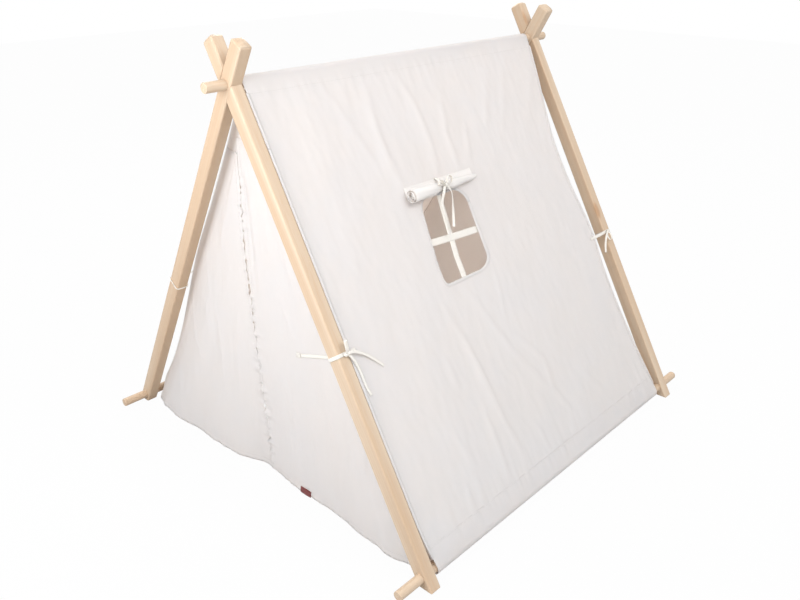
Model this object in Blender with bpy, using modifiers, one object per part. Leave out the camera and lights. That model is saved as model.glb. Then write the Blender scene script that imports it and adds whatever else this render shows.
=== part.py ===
# Play tent: four wooden poles halved together in pairs, three round dowels and a sewn cotton cover.
# The ridge runs along Y, the door gable faces -Y and the window is in the slope that faces +X.
# Metres, +Z up, the feet stand on z = 0.
import math

import bmesh
import bpy
from mathutils import Matrix, Vector

# Wooden frame
RIDGE_HEIGHT = 0.954            # axis of the ridge dowel above the floor
BASE_DOWEL_HEIGHT = 0.0235      # axis of each base dowel above the floor
LEG_SPREAD = 0.529              # base dowel axis from the middle of the tent
POLE_PAST_RIDGE = 0.102         # pole above the ridge dowel, along the pole
POLE_WIDTH = 0.034              # across the pole, in the plane of its gable
POLE_DEPTH = 0.030              # across the pole, along the ridge
POLE_EDGE_RADIUS = 0.004
POLE_TOP_RADIUS = 0.011
POLE_FOOT_RADIUS = 0.002
POLE_OUTSIDE = 0.036            # middle of each pole pair past the slopes' edge at the ridge
HALVING_CLEARANCE = 0.0003
DOWEL_DIAMETER = 0.022
DOWEL_CHAMFER = 0.0015
DOWEL_FIT = 0.0001              # radial play of a dowel in its hole
RIDGE_DOWEL_LENGTH = 1.160
BASE_DOWEL_LENGTH = 1.197

# Cotton cover
CLOTH = 0.002                   # cloth with its turned seams
SLEEVE_PLAY = 0.0008            # between a dowel and the cloth sleeve round it
SLEEVE_WALL = 0.0015
SEAM_GAP = 0.0003               # between two cloths that are sewn together
CORNER_GAP = 0.0009             # between a slope's edge and the gable cloth sewn to it
COVER_HALF_TOP = 0.480          # slope's edge from the middle, at the ridge
COVER_FLARE = 0.012             # and how much farther out it is at the hem
EDGE_DRAW_UPPER = 0.016         # how far the slope's edge draws in between ridge and tie
EDGE_DRAW_LOWER = 0.024         # and between tie and hem
TIE_DISTANCE = 0.590            # from the ridge axis down the pole to the ties
GABLE_TOP = 0.938               # top of the gable cloth, under the ridge dowel
HEM_HEIGHT = 0.010              # hem of the gable cloths above the floor
DOWEL_CLEARANCE = 0.004         # between the gable cloths and a base dowel
CORNER_RISE = 0.026             # height over which a gable's corner turns in to clear it
FACING_WIDTH = 0.047            # fixed strip between a slope and its door flap
DOOR_TOP = 0.835                # where the right door flap starts, and the cloth above it ends
LEFT_DOOR_TOP = 0.800           # where the left one starts, short of the line where they meet
DOOR_GAP = 0.003                # between the two door flaps, and above them
HINGE_GAP = 0.001               # between a door flap and the facing that it swings from
DOOR_LINE_TOP = 0.044           # the flaps meet this far left of the middle at the door's top
DOOR_LINE_FOOT = 0.002          # and this far left of it at the hem
FOLD_TOP = 0.55                 # the soft folds fade out at this height
FOLD_DEPTH = 0.005
FOLD_COUNT = 4.0
BILLOW_LEFT = 0.034             # how far the left flap's hem stands forward
BILLOW_RIGHT = 0.020
REAR_FOLD_DEPTH = 0.004

# Window and its rolled blind
WINDOW_MIDDLE = -0.076          # along the ridge
WINDOW_WIDTH = 0.168
WINDOW_TOP = 0.339              # down the slope from the ridge axis
WINDOW_HEIGHT = 0.204
WINDOW_RADIUS = 0.028
BINDING_WIDTH = 0.007
BINDING_THICKNESS = 0.0008
MUNTIN_WIDTH = 0.017
MUNTIN_THICKNESS = 0.0008
MUNTIN_LAP = 0.011              # how far a tape runs on behind the cloth
BLIND_MIDDLE = -0.068
BLIND_LENGTH = 0.246
BLIND_SEAM = 0.291              # the blind's seam, down the slope
BLIND_AXIS = 0.325              # the middle of the roll, down the slope
BLIND_RADIUS = 0.0168
BLIND_CORE = 0.0055
BLIND_TURNS = 2.6
BLIND_WAIST = 0.40              # share by which the tie draws the roll in
BLIND_WAIST_HALF = 0.028
BLIND_CLOTH = 0.0012
BLIND_OFF_SLOPE = 0.0024        # from the slope to the middle of the blind's nearest layer
BAND_PAST_SEAM = 0.002          # how far the tape round the roll reaches above that edge
BOW_PLACE = -0.080              # the blind's bow, along the ridge

# Ties
TAPE_WIDTH = 0.008
TAPE_THICKNESS = 0.001
CORD_WIDTH = 0.0035
BAND_PLAY = 0.0004              # between a pole and the tape round it
TIE_REACH = 0.018               # how far a tie's sewn end lies on the slope
KNOT_SIZE = 0.011
TAB_WIDTH = 0.034
TAB_HEIGHT = 0.017
TAB_PLACE = 0.140               # plain tab on the right flap's hem
RIBBON_PLACE = 0.132            # sewn end of the right flap's ribbon
RIBBON_HEIGHT = 0.379           # of that end above the floor
RIBBON_RISE = 0.038             # from there to the facing

COLLECTION = "play_tent"

# What follows from those sizes
COVER_HALF_FOOT = COVER_HALF_TOP + COVER_FLARE
POLE_PLANE = COVER_HALF_TOP + POLE_OUTSIDE       # of a pole pair from the middle of the tent
DROP = RIDGE_HEIGHT - BASE_DOWEL_HEIGHT
LEAN = math.atan2(LEG_SPREAD, DROP)              # of a pole, from upright
SINE, COSINE, TANGENT = math.sin(LEAN), math.cos(LEAN), math.tan(LEAN)
LEG = math.hypot(LEG_SPREAD, DROP)               # ridge dowel to base dowel
DOWEL_RADIUS = DOWEL_DIAMETER / 2
SLEEVE_IN = DOWEL_RADIUS + SLEEVE_PLAY
SLEEVE_OUT = SLEEVE_IN + SLEEVE_WALL
SLOPE_IN = SLEEVE_OUT + SEAM_GAP                 # inner face of a slope from the poles' mid plane
SLOPE_OUT = SLOPE_IN + CLOTH
GABLE_AHEAD = CLOTH / 2 + CORNER_GAP             # gable cloth ahead of the slope's edge


def wipe_scene():
    for thing in list(bpy.data.objects):
        bpy.data.objects.remove(thing, do_unlink=True)
    for mesh in list(bpy.data.meshes):
        bpy.data.meshes.remove(mesh)
    parts = bpy.data.collections.new(COLLECTION)
    cutters = bpy.data.collections.new("cutters")
    for group in (parts, cutters):
        bpy.context.scene.collection.children.link(group)
    return parts, cutters


PARTS, CUTTERS = wipe_scene()


def material(name, colour, roughness):
    made = bpy.data.materials.new(name)
    made.use_nodes = True
    shader = made.node_tree.nodes["Principled BSDF"]
    shader.inputs["Base Color"].default_value = (*colour, 1.0)
    shader.inputs["Roughness"].default_value = roughness
    shader.inputs["Metallic"].default_value = 0.0
    return made


PINE = (0.78, 0.58, 0.36)
COTTON = (0.84, 0.81, 0.77)
TAPE = (0.86, 0.82, 0.75)
TAB = (0.20, 0.05, 0.05)


def add(name, data, colour, roughness, matrix=None, group=None):
    """Puts a mesh or curve into the scene as one named piece with its own material."""
    thing = bpy.data.objects.new(name, data)
    (group or PARTS).objects.link(thing)
    if matrix is not None:
        thing.matrix_world = matrix
    if group is None:
        data.materials.append(material(name, colour, roughness))
    return thing


def mesh_from(bm, name):
    mesh = bpy.data.meshes.new(name)
    bm.to_mesh(mesh)
    bm.free()
    return mesh


def cutter(name, bm, matrix):
    thing = add(name, mesh_from(bm, name), None, None, matrix, CUTTERS)
    thing.hide_render = True
    thing.display_type = "WIRE"
    return thing


def cut(thing, tool):
    step = thing.modifiers.new("cut " + tool.name, "BOOLEAN")
    step.operation = "DIFFERENCE"
    step.solver = "EXACT"
    step.object = tool


def empty(name, matrix):
    thing = bpy.data.objects.new(name, None)
    PARTS.objects.link(thing)
    thing.matrix_world = matrix
    return thing


def hang(thing, parent):
    """Parents a piece to its joint's empty and keeps it where it is."""
    bpy.context.view_layer.update()
    world = thing.matrix_world.copy()
    thing.parent = parent
    thing.matrix_parent_inverse = parent.matrix_world.inverted()
    thing.matrix_world = world


# The wooden frame

def pole_matrix(side, end):
    """A pole's own frame: origin on the ridge axis, +Z up along the pole; side and end are +1 or -1."""
    place = Matrix.Translation((0.0, end * POLE_PLANE, RIDGE_HEIGHT))
    return place @ Matrix.Rotation(-side * LEAN, 4, "Y")


def pole_block(side):
    """A pole's blank, foot cut level with the floor."""
    bm = bmesh.new()
    bmesh.ops.create_cube(bm, size=1.0)
    for vert in bm.verts:
        x = (POLE_WIDTH / 2) * (1 if vert.co.x > 0 else -1)
        y = (POLE_DEPTH / 2) * (1 if vert.co.y > 0 else -1)
        z = POLE_PAST_RIDGE if vert.co.z > 0 else (-RIDGE_HEIGHT - side * SINE * x) / COSINE
        vert.co = (x, y, z)
    return bm


def make_pole(name, side, end, notch_faces_out):
    bm = pole_block(side)
    top = [e for e in bm.edges if all(v.co.z > 0 for v in e.verts)]
    bmesh.ops.bevel(bm, geom=top, offset=POLE_TOP_RADIUS, segments=4, profile=0.5, affect="EDGES")
    low = [e for e in bm.edges if all(v.co.z < -0.5 for v in e.verts)]
    bmesh.ops.bevel(bm, geom=low, offset=POLE_FOOT_RADIUS, segments=1, profile=0.5, affect="EDGES")
    corner = [e for e in bm.edges if e.calc_length() > LEG / 2]
    bmesh.ops.bevel(bm, geom=corner, offset=POLE_EDGE_RADIUS, segments=3, profile=0.5, affect="EDGES")
    pole = add(name, mesh_from(bm, name), PINE, 0.55, pole_matrix(side, end))

    # The halving: a slot for the crossing pole, half the depth, on the side stated.
    bm = bmesh.new()
    bmesh.ops.create_cube(bm, size=1.0)
    slot = POLE_WIDTH / 2 + HALVING_CLEARANCE
    way = end if notch_faces_out else -end
    bmesh.ops.scale(bm, vec=(2 * slot, POLE_DEPTH, 0.2), verts=bm.verts)
    bmesh.ops.translate(bm, vec=(0, way * (POLE_DEPTH / 2 - HALVING_CLEARANCE / 2), 0), verts=bm.verts)
    cut(pole, cutter(name + "_halving", bm, pole_matrix(-side, end)))

    for label, x, z in (("ridge", 0.0, RIDGE_HEIGHT), ("base", side * LEG_SPREAD, BASE_DOWEL_HEIGHT)):
        cut(pole, cutter(name + "_" + label + "_hole", round_bar(DOWEL_RADIUS + DOWEL_FIT, 0.2, 0.0),
                         Matrix.Translation((x, end * POLE_PLANE, z))))
    return pole


def round_bar(radius, length, chamfer):
    """A bar along Y, its ends chamfered."""
    bm = bmesh.new()
    bmesh.ops.create_cone(bm, cap_ends=True, cap_tris=False, segments=32,
                          radius1=radius, radius2=radius, depth=length,
                          matrix=Matrix.Rotation(math.pi / 2, 4, "X"))
    if chamfer:
        rim = [e for e in bm.edges if abs(abs(e.verts[0].co.y) - length / 2) < 1e-6
               and abs(e.verts[0].co.y - e.verts[1].co.y) < 1e-6]
        bmesh.ops.bevel(bm, geom=rim, offset=chamfer, segments=2, profile=0.5, affect="EDGES")
    return bm


def make_dowel(name, x, z, length):
    bar = round_bar(DOWEL_RADIUS, length, DOWEL_CHAMFER)
    add(name, mesh_from(bar, name), PINE, 0.5, Matrix.Translation((x, 0, z)))


# At the front the left pole keeps its outer half, at the rear the right one does.
make_pole("pole_right_front", 1, -1, True)
make_pole("pole_left_front", -1, -1, False)
make_pole("pole_right_rear", 1, 1, False)
make_pole("pole_left_rear", -1, 1, True)
make_dowel("ridge_dowel", 0.0, RIDGE_HEIGHT, RIDGE_DOWEL_LENGTH)
make_dowel("base_dowel_right", LEG_SPREAD, BASE_DOWEL_HEIGHT, BASE_DOWEL_LENGTH)
make_dowel("base_dowel_left", -LEG_SPREAD, BASE_DOWEL_HEIGHT, BASE_DOWEL_LENGTH)


# The cover

def cover_edge(down):
    """How far a slope's edge is from the middle of the tent, at a distance down from the ridge."""
    share = min(max(down / LEG, 0.0), 1.0)
    straight = COVER_HALF_TOP + (COVER_HALF_FOOT - COVER_HALF_TOP) * share
    if down < TIE_DISTANCE:
        return straight - EDGE_DRAW_UPPER * math.sin(math.pi * max(down, 0.0) / TIE_DISTANCE) ** 2
    below = min((down - TIE_DISTANCE) / (LEG - TIE_DISTANCE), 1.0)
    return straight - EDGE_DRAW_LOWER * math.sin(math.pi * below) ** 2


def slope_point(side, along, down, off):
    """A point by its place along the ridge, down the slope, and off the poles' mid plane."""
    return Vector((side * (down * SINE + off * COSINE), along, RIDGE_HEIGHT - down * COSINE + off * SINE))


def slope_matrix(side, off):
    """Local X runs along +Y, local Y up the slope and local Z outward on the right, inward on the left."""
    up = Vector((-side * SINE, 0, COSINE))
    along = Vector((0, 1, 0))
    out = along.cross(up)
    turn = Matrix((along, up, out)).transposed().to_4x4()
    return Matrix.Translation(slope_point(side, 0, 0, off)) @ turn


def flat(name, loops, thickness, matrix, colour, roughness=0.85):
    """A flat piece with holes: the first loop is its outline, and the curve is made a mesh."""
    curve = bpy.data.curves.new(name + "_outline", "CURVE")
    curve.dimensions = "2D"
    curve.fill_mode = "BOTH"
    curve.extrude = thickness / 2
    for loop in loops:
        spline = curve.splines.new("POLY")
        spline.points.add(len(loop) - 1)
        for point, (x, y) in zip(spline.points, loop):
            point.co = (x, y, 0, 1)
        spline.use_cyclic_u = True
    guide = bpy.data.objects.new(name + "_outline", curve)
    CUTTERS.objects.link(guide)
    bpy.context.view_layer.update()
    mesh = bpy.data.meshes.new_from_object(guide.evaluated_get(bpy.context.evaluated_depsgraph_get()))
    bpy.data.objects.remove(guide, do_unlink=True)
    bm = bmesh.new()
    bm.from_mesh(mesh)
    bmesh.ops.remove_doubles(bm, verts=bm.verts, dist=1e-6)
    bmesh.ops.recalc_face_normals(bm, faces=bm.faces)
    bpy.data.meshes.remove(mesh)
    return add(name, mesh_from(bm, name), colour, roughness, matrix)


def rounded_box(x, y, width, height, radius, steps=6):
    """Points of a rectangle with round corners, anticlockwise."""
    loop = []
    for corner, (sx, sy) in enumerate(((1, 1), (-1, 1), (-1, -1), (1, -1))):
        cx, cy = x + sx * (width / 2 - radius), y + sy * (height / 2 - radius)
        for i in range(steps + 1):
            turn = math.pi / 2 * (corner + i / steps)
            loop.append((cx + radius * math.cos(turn), cy + radius * math.sin(turn)))
    return loop


def ring(name, radius_in, radius_out, half, x, z, colour):
    """A sleeve along Y round a dowel: an open tube thickened with Solidify."""
    bm = bmesh.new()
    bmesh.ops.create_cone(bm, cap_ends=False, segments=32, radius1=radius_out, radius2=radius_out,
                          depth=2 * half, matrix=Matrix.Rotation(math.pi / 2, 4, "X"))
    bmesh.ops.recalc_face_normals(bm, faces=bm.faces)
    thing = add(name, mesh_from(bm, name), colour, 0.85, Matrix.Translation((x, 0, z)))
    thick = thing.modifiers.new("thick", "SOLIDIFY")
    thick.thickness = radius_out - radius_in
    thick.offset = -1.0
    return thing


def make_slope(name, side, loops_more=()):
    rows = 36
    edge = []
    for i in range(rows + 1):
        down = LEG * i / rows
        edge.append((cover_edge(down), -down))
    outline = edge + [(-x, y) for x, y in reversed(edge)]
    off = (SLOPE_IN + SLOPE_OUT) / 2
    return flat(name, [outline, *loops_more], CLOTH, slope_matrix(side, off), COTTON)


window_middle_down = WINDOW_TOP + WINDOW_HEIGHT / 2
window = rounded_box(WINDOW_MIDDLE, -window_middle_down, WINDOW_WIDTH, WINDOW_HEIGHT, WINDOW_RADIUS)
make_slope("roof_panel_right", 1, [window])
make_slope("roof_panel_left", -1)
ring("ridge_tunnel", SLEEVE_IN, SLEEVE_OUT, COVER_HALF_TOP - 0.0005, 0.0, RIDGE_HEIGHT, COTTON)
for word, side in (("right", 1), ("left", -1)):
    ring("hem_sleeve_" + word, SLEEVE_IN, SLEEVE_OUT, COVER_HALF_FOOT - 0.0085,
         side * LEG_SPREAD, BASE_DOWEL_HEIGHT, COTTON)

# The window's binding lies on the slope, and its two crossed tapes lie behind it.
wide = rounded_box(WINDOW_MIDDLE, -window_middle_down, WINDOW_WIDTH + 2 * BINDING_WIDTH,
                   WINDOW_HEIGHT + 2 * BINDING_WIDTH, WINDOW_RADIUS + BINDING_WIDTH)
flat("window_binding", [wide, window], BINDING_THICKNESS,
     slope_matrix(1, SLOPE_OUT + SEAM_GAP + BINDING_THICKNESS / 2), TAPE)


def strip(name, along, down, width, height, off, thickness, colour):
    """A straight tape lying on the right slope's plane."""
    return flat(name, [rounded_box(along, -down, width, height, 0.0005, 1)], thickness,
                slope_matrix(1, off), colour)


upright_off = SLOPE_IN - SEAM_GAP - MUNTIN_THICKNESS / 2
strip("muntin_upright", WINDOW_MIDDLE, window_middle_down, MUNTIN_WIDTH,
      WINDOW_HEIGHT + 2 * MUNTIN_LAP, upright_off, MUNTIN_THICKNESS, TAPE)
strip("muntin_cross", WINDOW_MIDDLE, window_middle_down, WINDOW_WIDTH + 2 * MUNTIN_LAP,
      MUNTIN_WIDTH, upright_off - MUNTIN_THICKNESS - SEAM_GAP, MUNTIN_THICKNESS, TAPE)


# The gable cloths

def down_at(height):
    """Distance down the slope's outer face at a height."""
    return (RIDGE_HEIGHT + SLOPE_OUT * SINE - height) / COSINE


def outer_x(height):
    """A gable's sewn edge follows the slope, and passes inside the base dowel at the foot."""
    line = (RIDGE_HEIGHT - height) * TANGENT + SLOPE_OUT / COSINE
    inside = LEG_SPREAD - DOWEL_RADIUS - DOWEL_CLEARANCE
    rise = (height - BASE_DOWEL_HEIGHT - DOWEL_RADIUS - DOWEL_CLEARANCE) / CORNER_RISE
    return inside + (line - inside) * min(max(rise, 0.0), 1.0)


def hinge_x(height):
    """The line that a door flap swings about, parallel to the pole."""
    return (RIDGE_HEIGHT - height) * TANGENT + (SLOPE_OUT - FACING_WIDTH) / COSINE


def gable_plane(height):
    """Distance of the flat part of a gable from the middle of the tent."""
    share = (RIDGE_HEIGHT - height) / DROP
    return COVER_HALF_TOP + (COVER_HALF_FOOT - COVER_HALF_TOP) * share + GABLE_AHEAD


def gable_edge(height):
    """Distance of a gable's sewn edge from the middle: it follows the slope's edge."""
    return cover_edge(down_at(height)) + GABLE_AHEAD


def meeting_x(height):
    """The straight line where the two door flaps meet."""
    share = (height - HEM_HEIGHT) / (DOOR_TOP - HEM_HEIGHT)
    return -DOOR_LINE_FOOT - (DOOR_LINE_TOP - DOOR_LINE_FOOT) * share


def fade(height):
    return max(0.0, 1 - height / FOLD_TOP) ** 1.4


def flap_stands(side, share, height):
    """How far a flap stands forward of the gable's plane; share runs from its hinge to its free edge."""
    folds = FOLD_DEPTH * math.sin(2 * math.pi * FOLD_COUNT * share) * math.sin(math.pi * share) ** 0.5
    upper = 0.35 + 0.65 * fade(height)
    if side < 0:
        billow = BILLOW_LEFT * math.sin(math.pi * share ** 1.4) ** 2
    else:
        billow = BILLOW_RIGHT * math.sin(2 * math.pi * share) * min(1.0, 3 * (1 - share) + 0.3)
    narrow = min(1.0, (hinge_x(height) - side * meeting_x(height)) / 0.40)
    return billow * fade(height) + folds * upper * narrow


def cloth_sheet(name, columns, rows, place, colour=COTTON, thickness=CLOTH):
    """A cloth from a grid whose points are set by place(u, v), thickened with Solidify."""
    bm = bmesh.new()
    bmesh.ops.create_grid(bm, x_segments=columns, y_segments=rows, size=0.5)
    for vert in bm.verts:
        vert.co = place(vert.co.x + 0.5, vert.co.y + 0.5)
    thing = add(name, mesh_from(bm, name), colour, 0.85)
    thick = thing.modifiers.new("thick", "SOLIDIFY")
    thick.thickness = thickness
    thick.offset = 0.0
    return thing


def make_facing(name, side):
    rows = 40
    ledge = DOOR_TOP + DOOR_GAP

    def height_of(v):
        # the last two rows span the piece above the door
        k = round(v * rows)
        if k <= rows - 2:
            return HEM_HEIGHT + (ledge - CLOTH / 2 - HEM_HEIGHT) * k / (rows - 2)
        return ledge if k == rows - 1 else GABLE_TOP

    def place(u, v):
        k = round(v * rows)
        height = height_of(v)
        outer = outer_x(height)
        # over the left flap's top the strip reaches on to the right flap's edge
        inner = hinge_x(height) if side > 0 else max(hinge_x(height), DOOR_GAP - meeting_x(height))
        if k > rows - 2:
            inner = SEAM_GAP
        x = outer + (inner - outer) * u
        y = gable_edge(height) + (gable_plane(height) - gable_edge(height)) * u
        return (side * x, -y, height)

    return cloth_sheet(name, 2, rows, place)


def make_flap(name, side):
    top = DOOR_TOP if side > 0 else LEFT_DOOR_TOP

    def place(u, v):
        height = HEM_HEIGHT + (top - HEM_HEIGHT) * v
        start = side * (hinge_x(height) - HINGE_GAP)
        end = meeting_x(height) + side * DOOR_GAP / 2
        x = start + (end - start) * u
        return (x, -gable_plane(height) - flap_stands(side, u, height), height)

    return cloth_sheet(name, 20, 22, place)


def rear_place(u, v):
    height = HEM_HEIGHT + (GABLE_TOP - HEM_HEIGHT) * v ** 1.25
    t = 2 * u - 1
    edge, plane = gable_edge(height), gable_plane(height)
    blend = abs(t) ** 4
    folds = REAR_FOLD_DEPTH * math.sin(5 * math.pi * t) * (1 - t * t) * (0.3 + 0.7 * fade(height))
    return (t * outer_x(height), plane + (edge - plane) * blend + folds, height)


make_facing("front_facing_right", 1)
make_facing("front_facing_left", -1)
cloth_sheet("rear_gable", 20, 26, rear_place)


# Joints' empties: a door flap turns about the seam between it and its facing, at their outer faces.
def hinge_point(side, height):
    return Vector((side * (hinge_x(height) - 0.7 * HINGE_GAP), -gable_plane(height) - CLOTH / 2, height))


def hinge_frame(side):
    low, high = hinge_point(side, 0.0), hinge_point(side, DOOR_TOP)
    return Matrix.Translation(low) @ (high - low).to_track_quat("Z", "Y").to_matrix().to_4x4()


door_right = empty("door_right_axis", hinge_frame(1))
door_left = empty("door_left_axis", hinge_frame(-1))
hang(make_flap("door_flap_right", 1), door_right)
hang(make_flap("door_flap_left", -1), door_left)


def flap_surface(side, x, height, off):
    """A point in front of a flap's outer face."""
    start = side * (hinge_x(height) - HINGE_GAP)
    end = meeting_x(height) + side * DOOR_GAP / 2
    share = (x - start) / (end - start)
    return Vector((x, -gable_plane(height) - flap_stands(side, share, height) - off, height))


def tape(name, points, across, width=TAPE_WIDTH, thickness=TAPE_THICKNESS, colour=TAPE):
    """A tape along a smooth line through the points; across(t) gives its width direction."""
    line = smooth(points, max(10, 4 * (len(points) - 1)))
    count = len(line) - 1

    def place(u, v):
        middle = line[round(v * count)]
        return middle + across(v).normalized() * (u - 0.5) * width

    return cloth_sheet(name, 1, count, place, colour, thickness)


def smooth(points, count):
    """Points at equal steps of parameter on a Catmull-Rom curve through the given ones."""
    pts = [Vector(p) for p in points]
    pts = [2 * pts[0] - pts[1], *pts, 2 * pts[-1] - pts[-2]]
    spans = len(pts) - 3
    line = []
    for i in range(count + 1):
        t = spans * i / count
        k = min(int(t), spans - 1)
        t -= k
        a, b, c, d = pts[k:k + 4]
        line.append(0.5 * (2 * b + (c - a) * t + (2 * a - 5 * b + 4 * c - d) * t * t
                           + (3 * b - a - 3 * c + d) * t ** 3))
    return line


def knot(name, centre, size, colour=TAPE):
    bm = bmesh.new()
    bmesh.ops.create_uvsphere(bm, u_segments=12, v_segments=8, radius=0.5)
    bmesh.ops.scale(bm, vec=size, verts=bm.verts)
    thing = add(name, mesh_from(bm, name), colour, 0.85)
    thing.matrix_world = Matrix.Translation(centre)
    return thing


# The rolled blind swings about its seam; its cloth comes down behind the roll and winds in from below.
blind_axis = empty("window_blind_axis", Matrix.Translation(
    slope_point(1, BLIND_MIDDLE, BLIND_SEAM - BAND_PAST_SEAM - TAPE_THICKNESS, SLOPE_OUT + TAPE_THICKNESS)))


def waist(along):
    return 1 - BLIND_WAIST * math.exp(-((along - BOW_PLACE) / BLIND_WAIST_HALF) ** 2)


def blind_profile(share, squeeze):
    """A point of the blind's section: distance down the slope and height off the slope's face."""
    lead = 0.12
    if share < lead:
        return BLIND_SEAM + (BLIND_AXIS - BLIND_SEAM) * share / lead, BLIND_OFF_SLOPE
    turn = (share - lead) / (1 - lead)
    radius = BLIND_RADIUS + (BLIND_CORE - BLIND_RADIUS) * turn
    angle = 2 * math.pi * BLIND_TURNS * turn
    down = BLIND_AXIS + squeeze * radius * math.sin(angle)
    return down, BLIND_OFF_SLOPE + squeeze * (BLIND_RADIUS - radius * math.cos(angle))


def blind_place(u, v):
    along = BLIND_MIDDLE + BLIND_LENGTH * (u - 0.5)
    down, off = blind_profile(v, waist(along))
    return slope_point(1, along, down, SLOPE_OUT + off)


hang(cloth_sheet("window_blind_roll", 20, 52, blind_place, thickness=BLIND_CLOTH), blind_axis)


def band_profile():
    """The tape round the roll's waist, in the roll's section: a closed line clear of the roll."""
    squeeze = 1 - BLIND_WAIST + 0.03        # the roll is a little thicker at the tape's edges
    radius = squeeze * BLIND_RADIUS + BLIND_CLOTH / 2 + TAPE_THICKNESS / 2 + SEAM_GAP
    back = BLIND_OFF_SLOPE + squeeze * BLIND_RADIUS
    loop = []
    for i in range(21):
        angle = math.radians(-90 + 225 * i / 20)
        loop.append((BLIND_AXIS + radius * math.cos(angle), back + radius * math.sin(angle)))
    top = BLIND_SEAM - BAND_PAST_SEAM
    loop.append((top, BLIND_OFF_SLOPE + 0.0022))
    loop.append((top, back - radius))
    return loop


def make_band(name):
    loop = band_profile()
    bm = bmesh.new()
    rows = []
    for half in (-0.5, 0.5):
        rows.append([bm.verts.new(slope_point(1, BOW_PLACE + half * TAPE_WIDTH, d, SLOPE_OUT + o))
                     for d, o in loop])
    edges = [[bm.edges.new((row[i], row[(i + 1) % len(row)])) for i in range(len(row))] for row in rows]
    bmesh.ops.bridge_loops(bm, edges=edges[0] + edges[1])
    bmesh.ops.recalc_face_normals(bm, faces=bm.faces)
    thing = add(name, mesh_from(bm, name), TAPE, 0.85)
    thick = thing.modifiers.new("thick", "SOLIDIFY")
    thick.thickness = TAPE_THICKNESS
    thick.offset = 0.0
    return thing


hang(make_band("blind_tie_band"), blind_axis)

# Winding check: the least gap that the roll's layers leave, in its section away from the tie.
for label, squeeze in (("free", 1.0), ("tied", 1 - BLIND_WAIST)):
    section = [Vector(blind_profile(i / 520, squeeze)) for i in range(521)]
    reach = [0.0]
    for a, b in zip(section, section[1:]):
        reach.append(reach[-1] + (b - a).length)
    least = min((section[i] - section[j]).length for i in range(0, 521, 2) for j in range(i + 1, 521)
                if reach[j] - reach[i] > 0.02) - BLIND_CLOTH
    print("roll, %s section: least gap between its layers %.2f mm" % (label, least * 1000))
squeezed = (1 - BLIND_WAIST + 0.03) * BLIND_RADIUS
bow_off = BLIND_OFF_SLOPE + 2 * squeezed + BLIND_CLOTH / 2 + TAPE_THICKNESS + 2 * SEAM_GAP
bow = slope_point(1, BOW_PLACE, BLIND_AXIS, SLOPE_OUT + bow_off + KNOT_SIZE * 0.35)
bow_knot = knot("blind_tie_knot", bow, (KNOT_SIZE * 0.7, KNOT_SIZE, KNOT_SIZE * 0.7))
hang(bow_knot, blind_axis)


def on_slope(along, down, off):
    return slope_point(1, along, down, SLOPE_OUT + off)


def sideways(t):
    return Vector((0, 1, 0))


def upward(side):
    return Vector((-side * SINE, 0, COSINE))


# Each loop and tail starts beside the knot; its points are the steps along the ridge, down the slope
# and off it from there. Tails lie flat to the slope, loops stand on edge.
knot_off = bow_off + KNOT_SIZE * 0.35
TAIL_WIDTH, LOOP_WIDTH = 0.0064, 0.0048
tails = {
    "blind_tie_tail_left": (-1, [(0, 0, 0), (0.012, 0.017, -0.001), (0.019, 0.040, -0.012),
                                 (0.018, 0.076, -0.018), (0.024, 0.112, -0.019)]),
    "blind_tie_tail_right": (1, [(0, 0, 0), (0.007, 0.020, -0.001), (0.011, 0.042, -0.012),
                                 (0.003, 0.072, -0.018), (-0.009, 0.098, -0.019)]),
    "blind_tie_loop_left": (-1, [(0, 0, 0), (0.012, -0.010, 0.004), (0.020, -0.007, 0.005),
                                 (0.016, 0.002, 0.003)]),
    "blind_tie_loop_right": (1, [(0, 0, 0), (0.011, -0.012, 0.004), (0.020, -0.010, 0.005),
                                 (0.017, 0.000, 0.003)]),
}
for name, (way, steps) in tails.items():
    tail = "tail" in name
    start = KNOT_SIZE / 2 + SEAM_GAP + (TAIL_WIDTH / 2 if tail else 0)
    raise_up = 0 if tail else LOOP_WIDTH / 2 + 2 * SEAM_GAP
    line = [on_slope(BOW_PLACE + way * (start + a), BLIND_AXIS + d - raise_up, knot_off + o)
            for a, d, o in steps]
    hang(tape(name, line, sideways if tail else (lambda t: upward(1)), TAIL_WIDTH if tail else LOOP_WIDTH),
         blind_axis)


# Ties round the poles
def pole_band(name, side, end, width):
    """A tape wound once round a pole."""
    inner = rounded_box(0, 0, POLE_WIDTH + 2 * BAND_PLAY, POLE_DEPTH + 2 * BAND_PLAY,
                        POLE_EDGE_RADIUS + BAND_PLAY, 4)
    grow = BAND_PLAY + TAPE_THICKNESS
    outer = rounded_box(0, 0, POLE_WIDTH + 2 * grow, POLE_DEPTH + 2 * grow, POLE_EDGE_RADIUS + grow, 4)
    place = pole_matrix(side, end) @ Matrix.Translation((0, 0, -TIE_DISTANCE))
    return flat(name, [outer, inner], width, place, TAPE)


def tie_link(name, side, end, width):
    """The tie's sewn end: from the band to the slope's outer face."""
    start = POLE_PLANE - POLE_DEPTH / 2 - BAND_PLAY - TAPE_THICKNESS - SEAM_GAP
    finish = cover_edge(TIE_DISTANCE) - TIE_REACH
    off = SLOPE_OUT + SEAM_GAP + TAPE_THICKNESS / 2
    middle = (start + finish) / 2
    loop = rounded_box(end * middle, -TIE_DISTANCE, start - finish, width, 0.0005, 1)
    return flat(name, [loop], TAPE_THICKNESS, slope_matrix(side, off), TAPE)


BAND_OUT = POLE_WIDTH / 2 + BAND_PLAY + TAPE_THICKNESS
for word, side, end, width in (("right_front", 1, -1, TAPE_WIDTH), ("right_rear", 1, 1, TAPE_WIDTH),
                               ("left_front", -1, -1, CORD_WIDTH), ("left_rear", -1, 1, CORD_WIDTH)):
    pole_band("tie_band_" + word, side, end, width)
    tie_link("tie_link_" + word, side, end, width)


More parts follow.
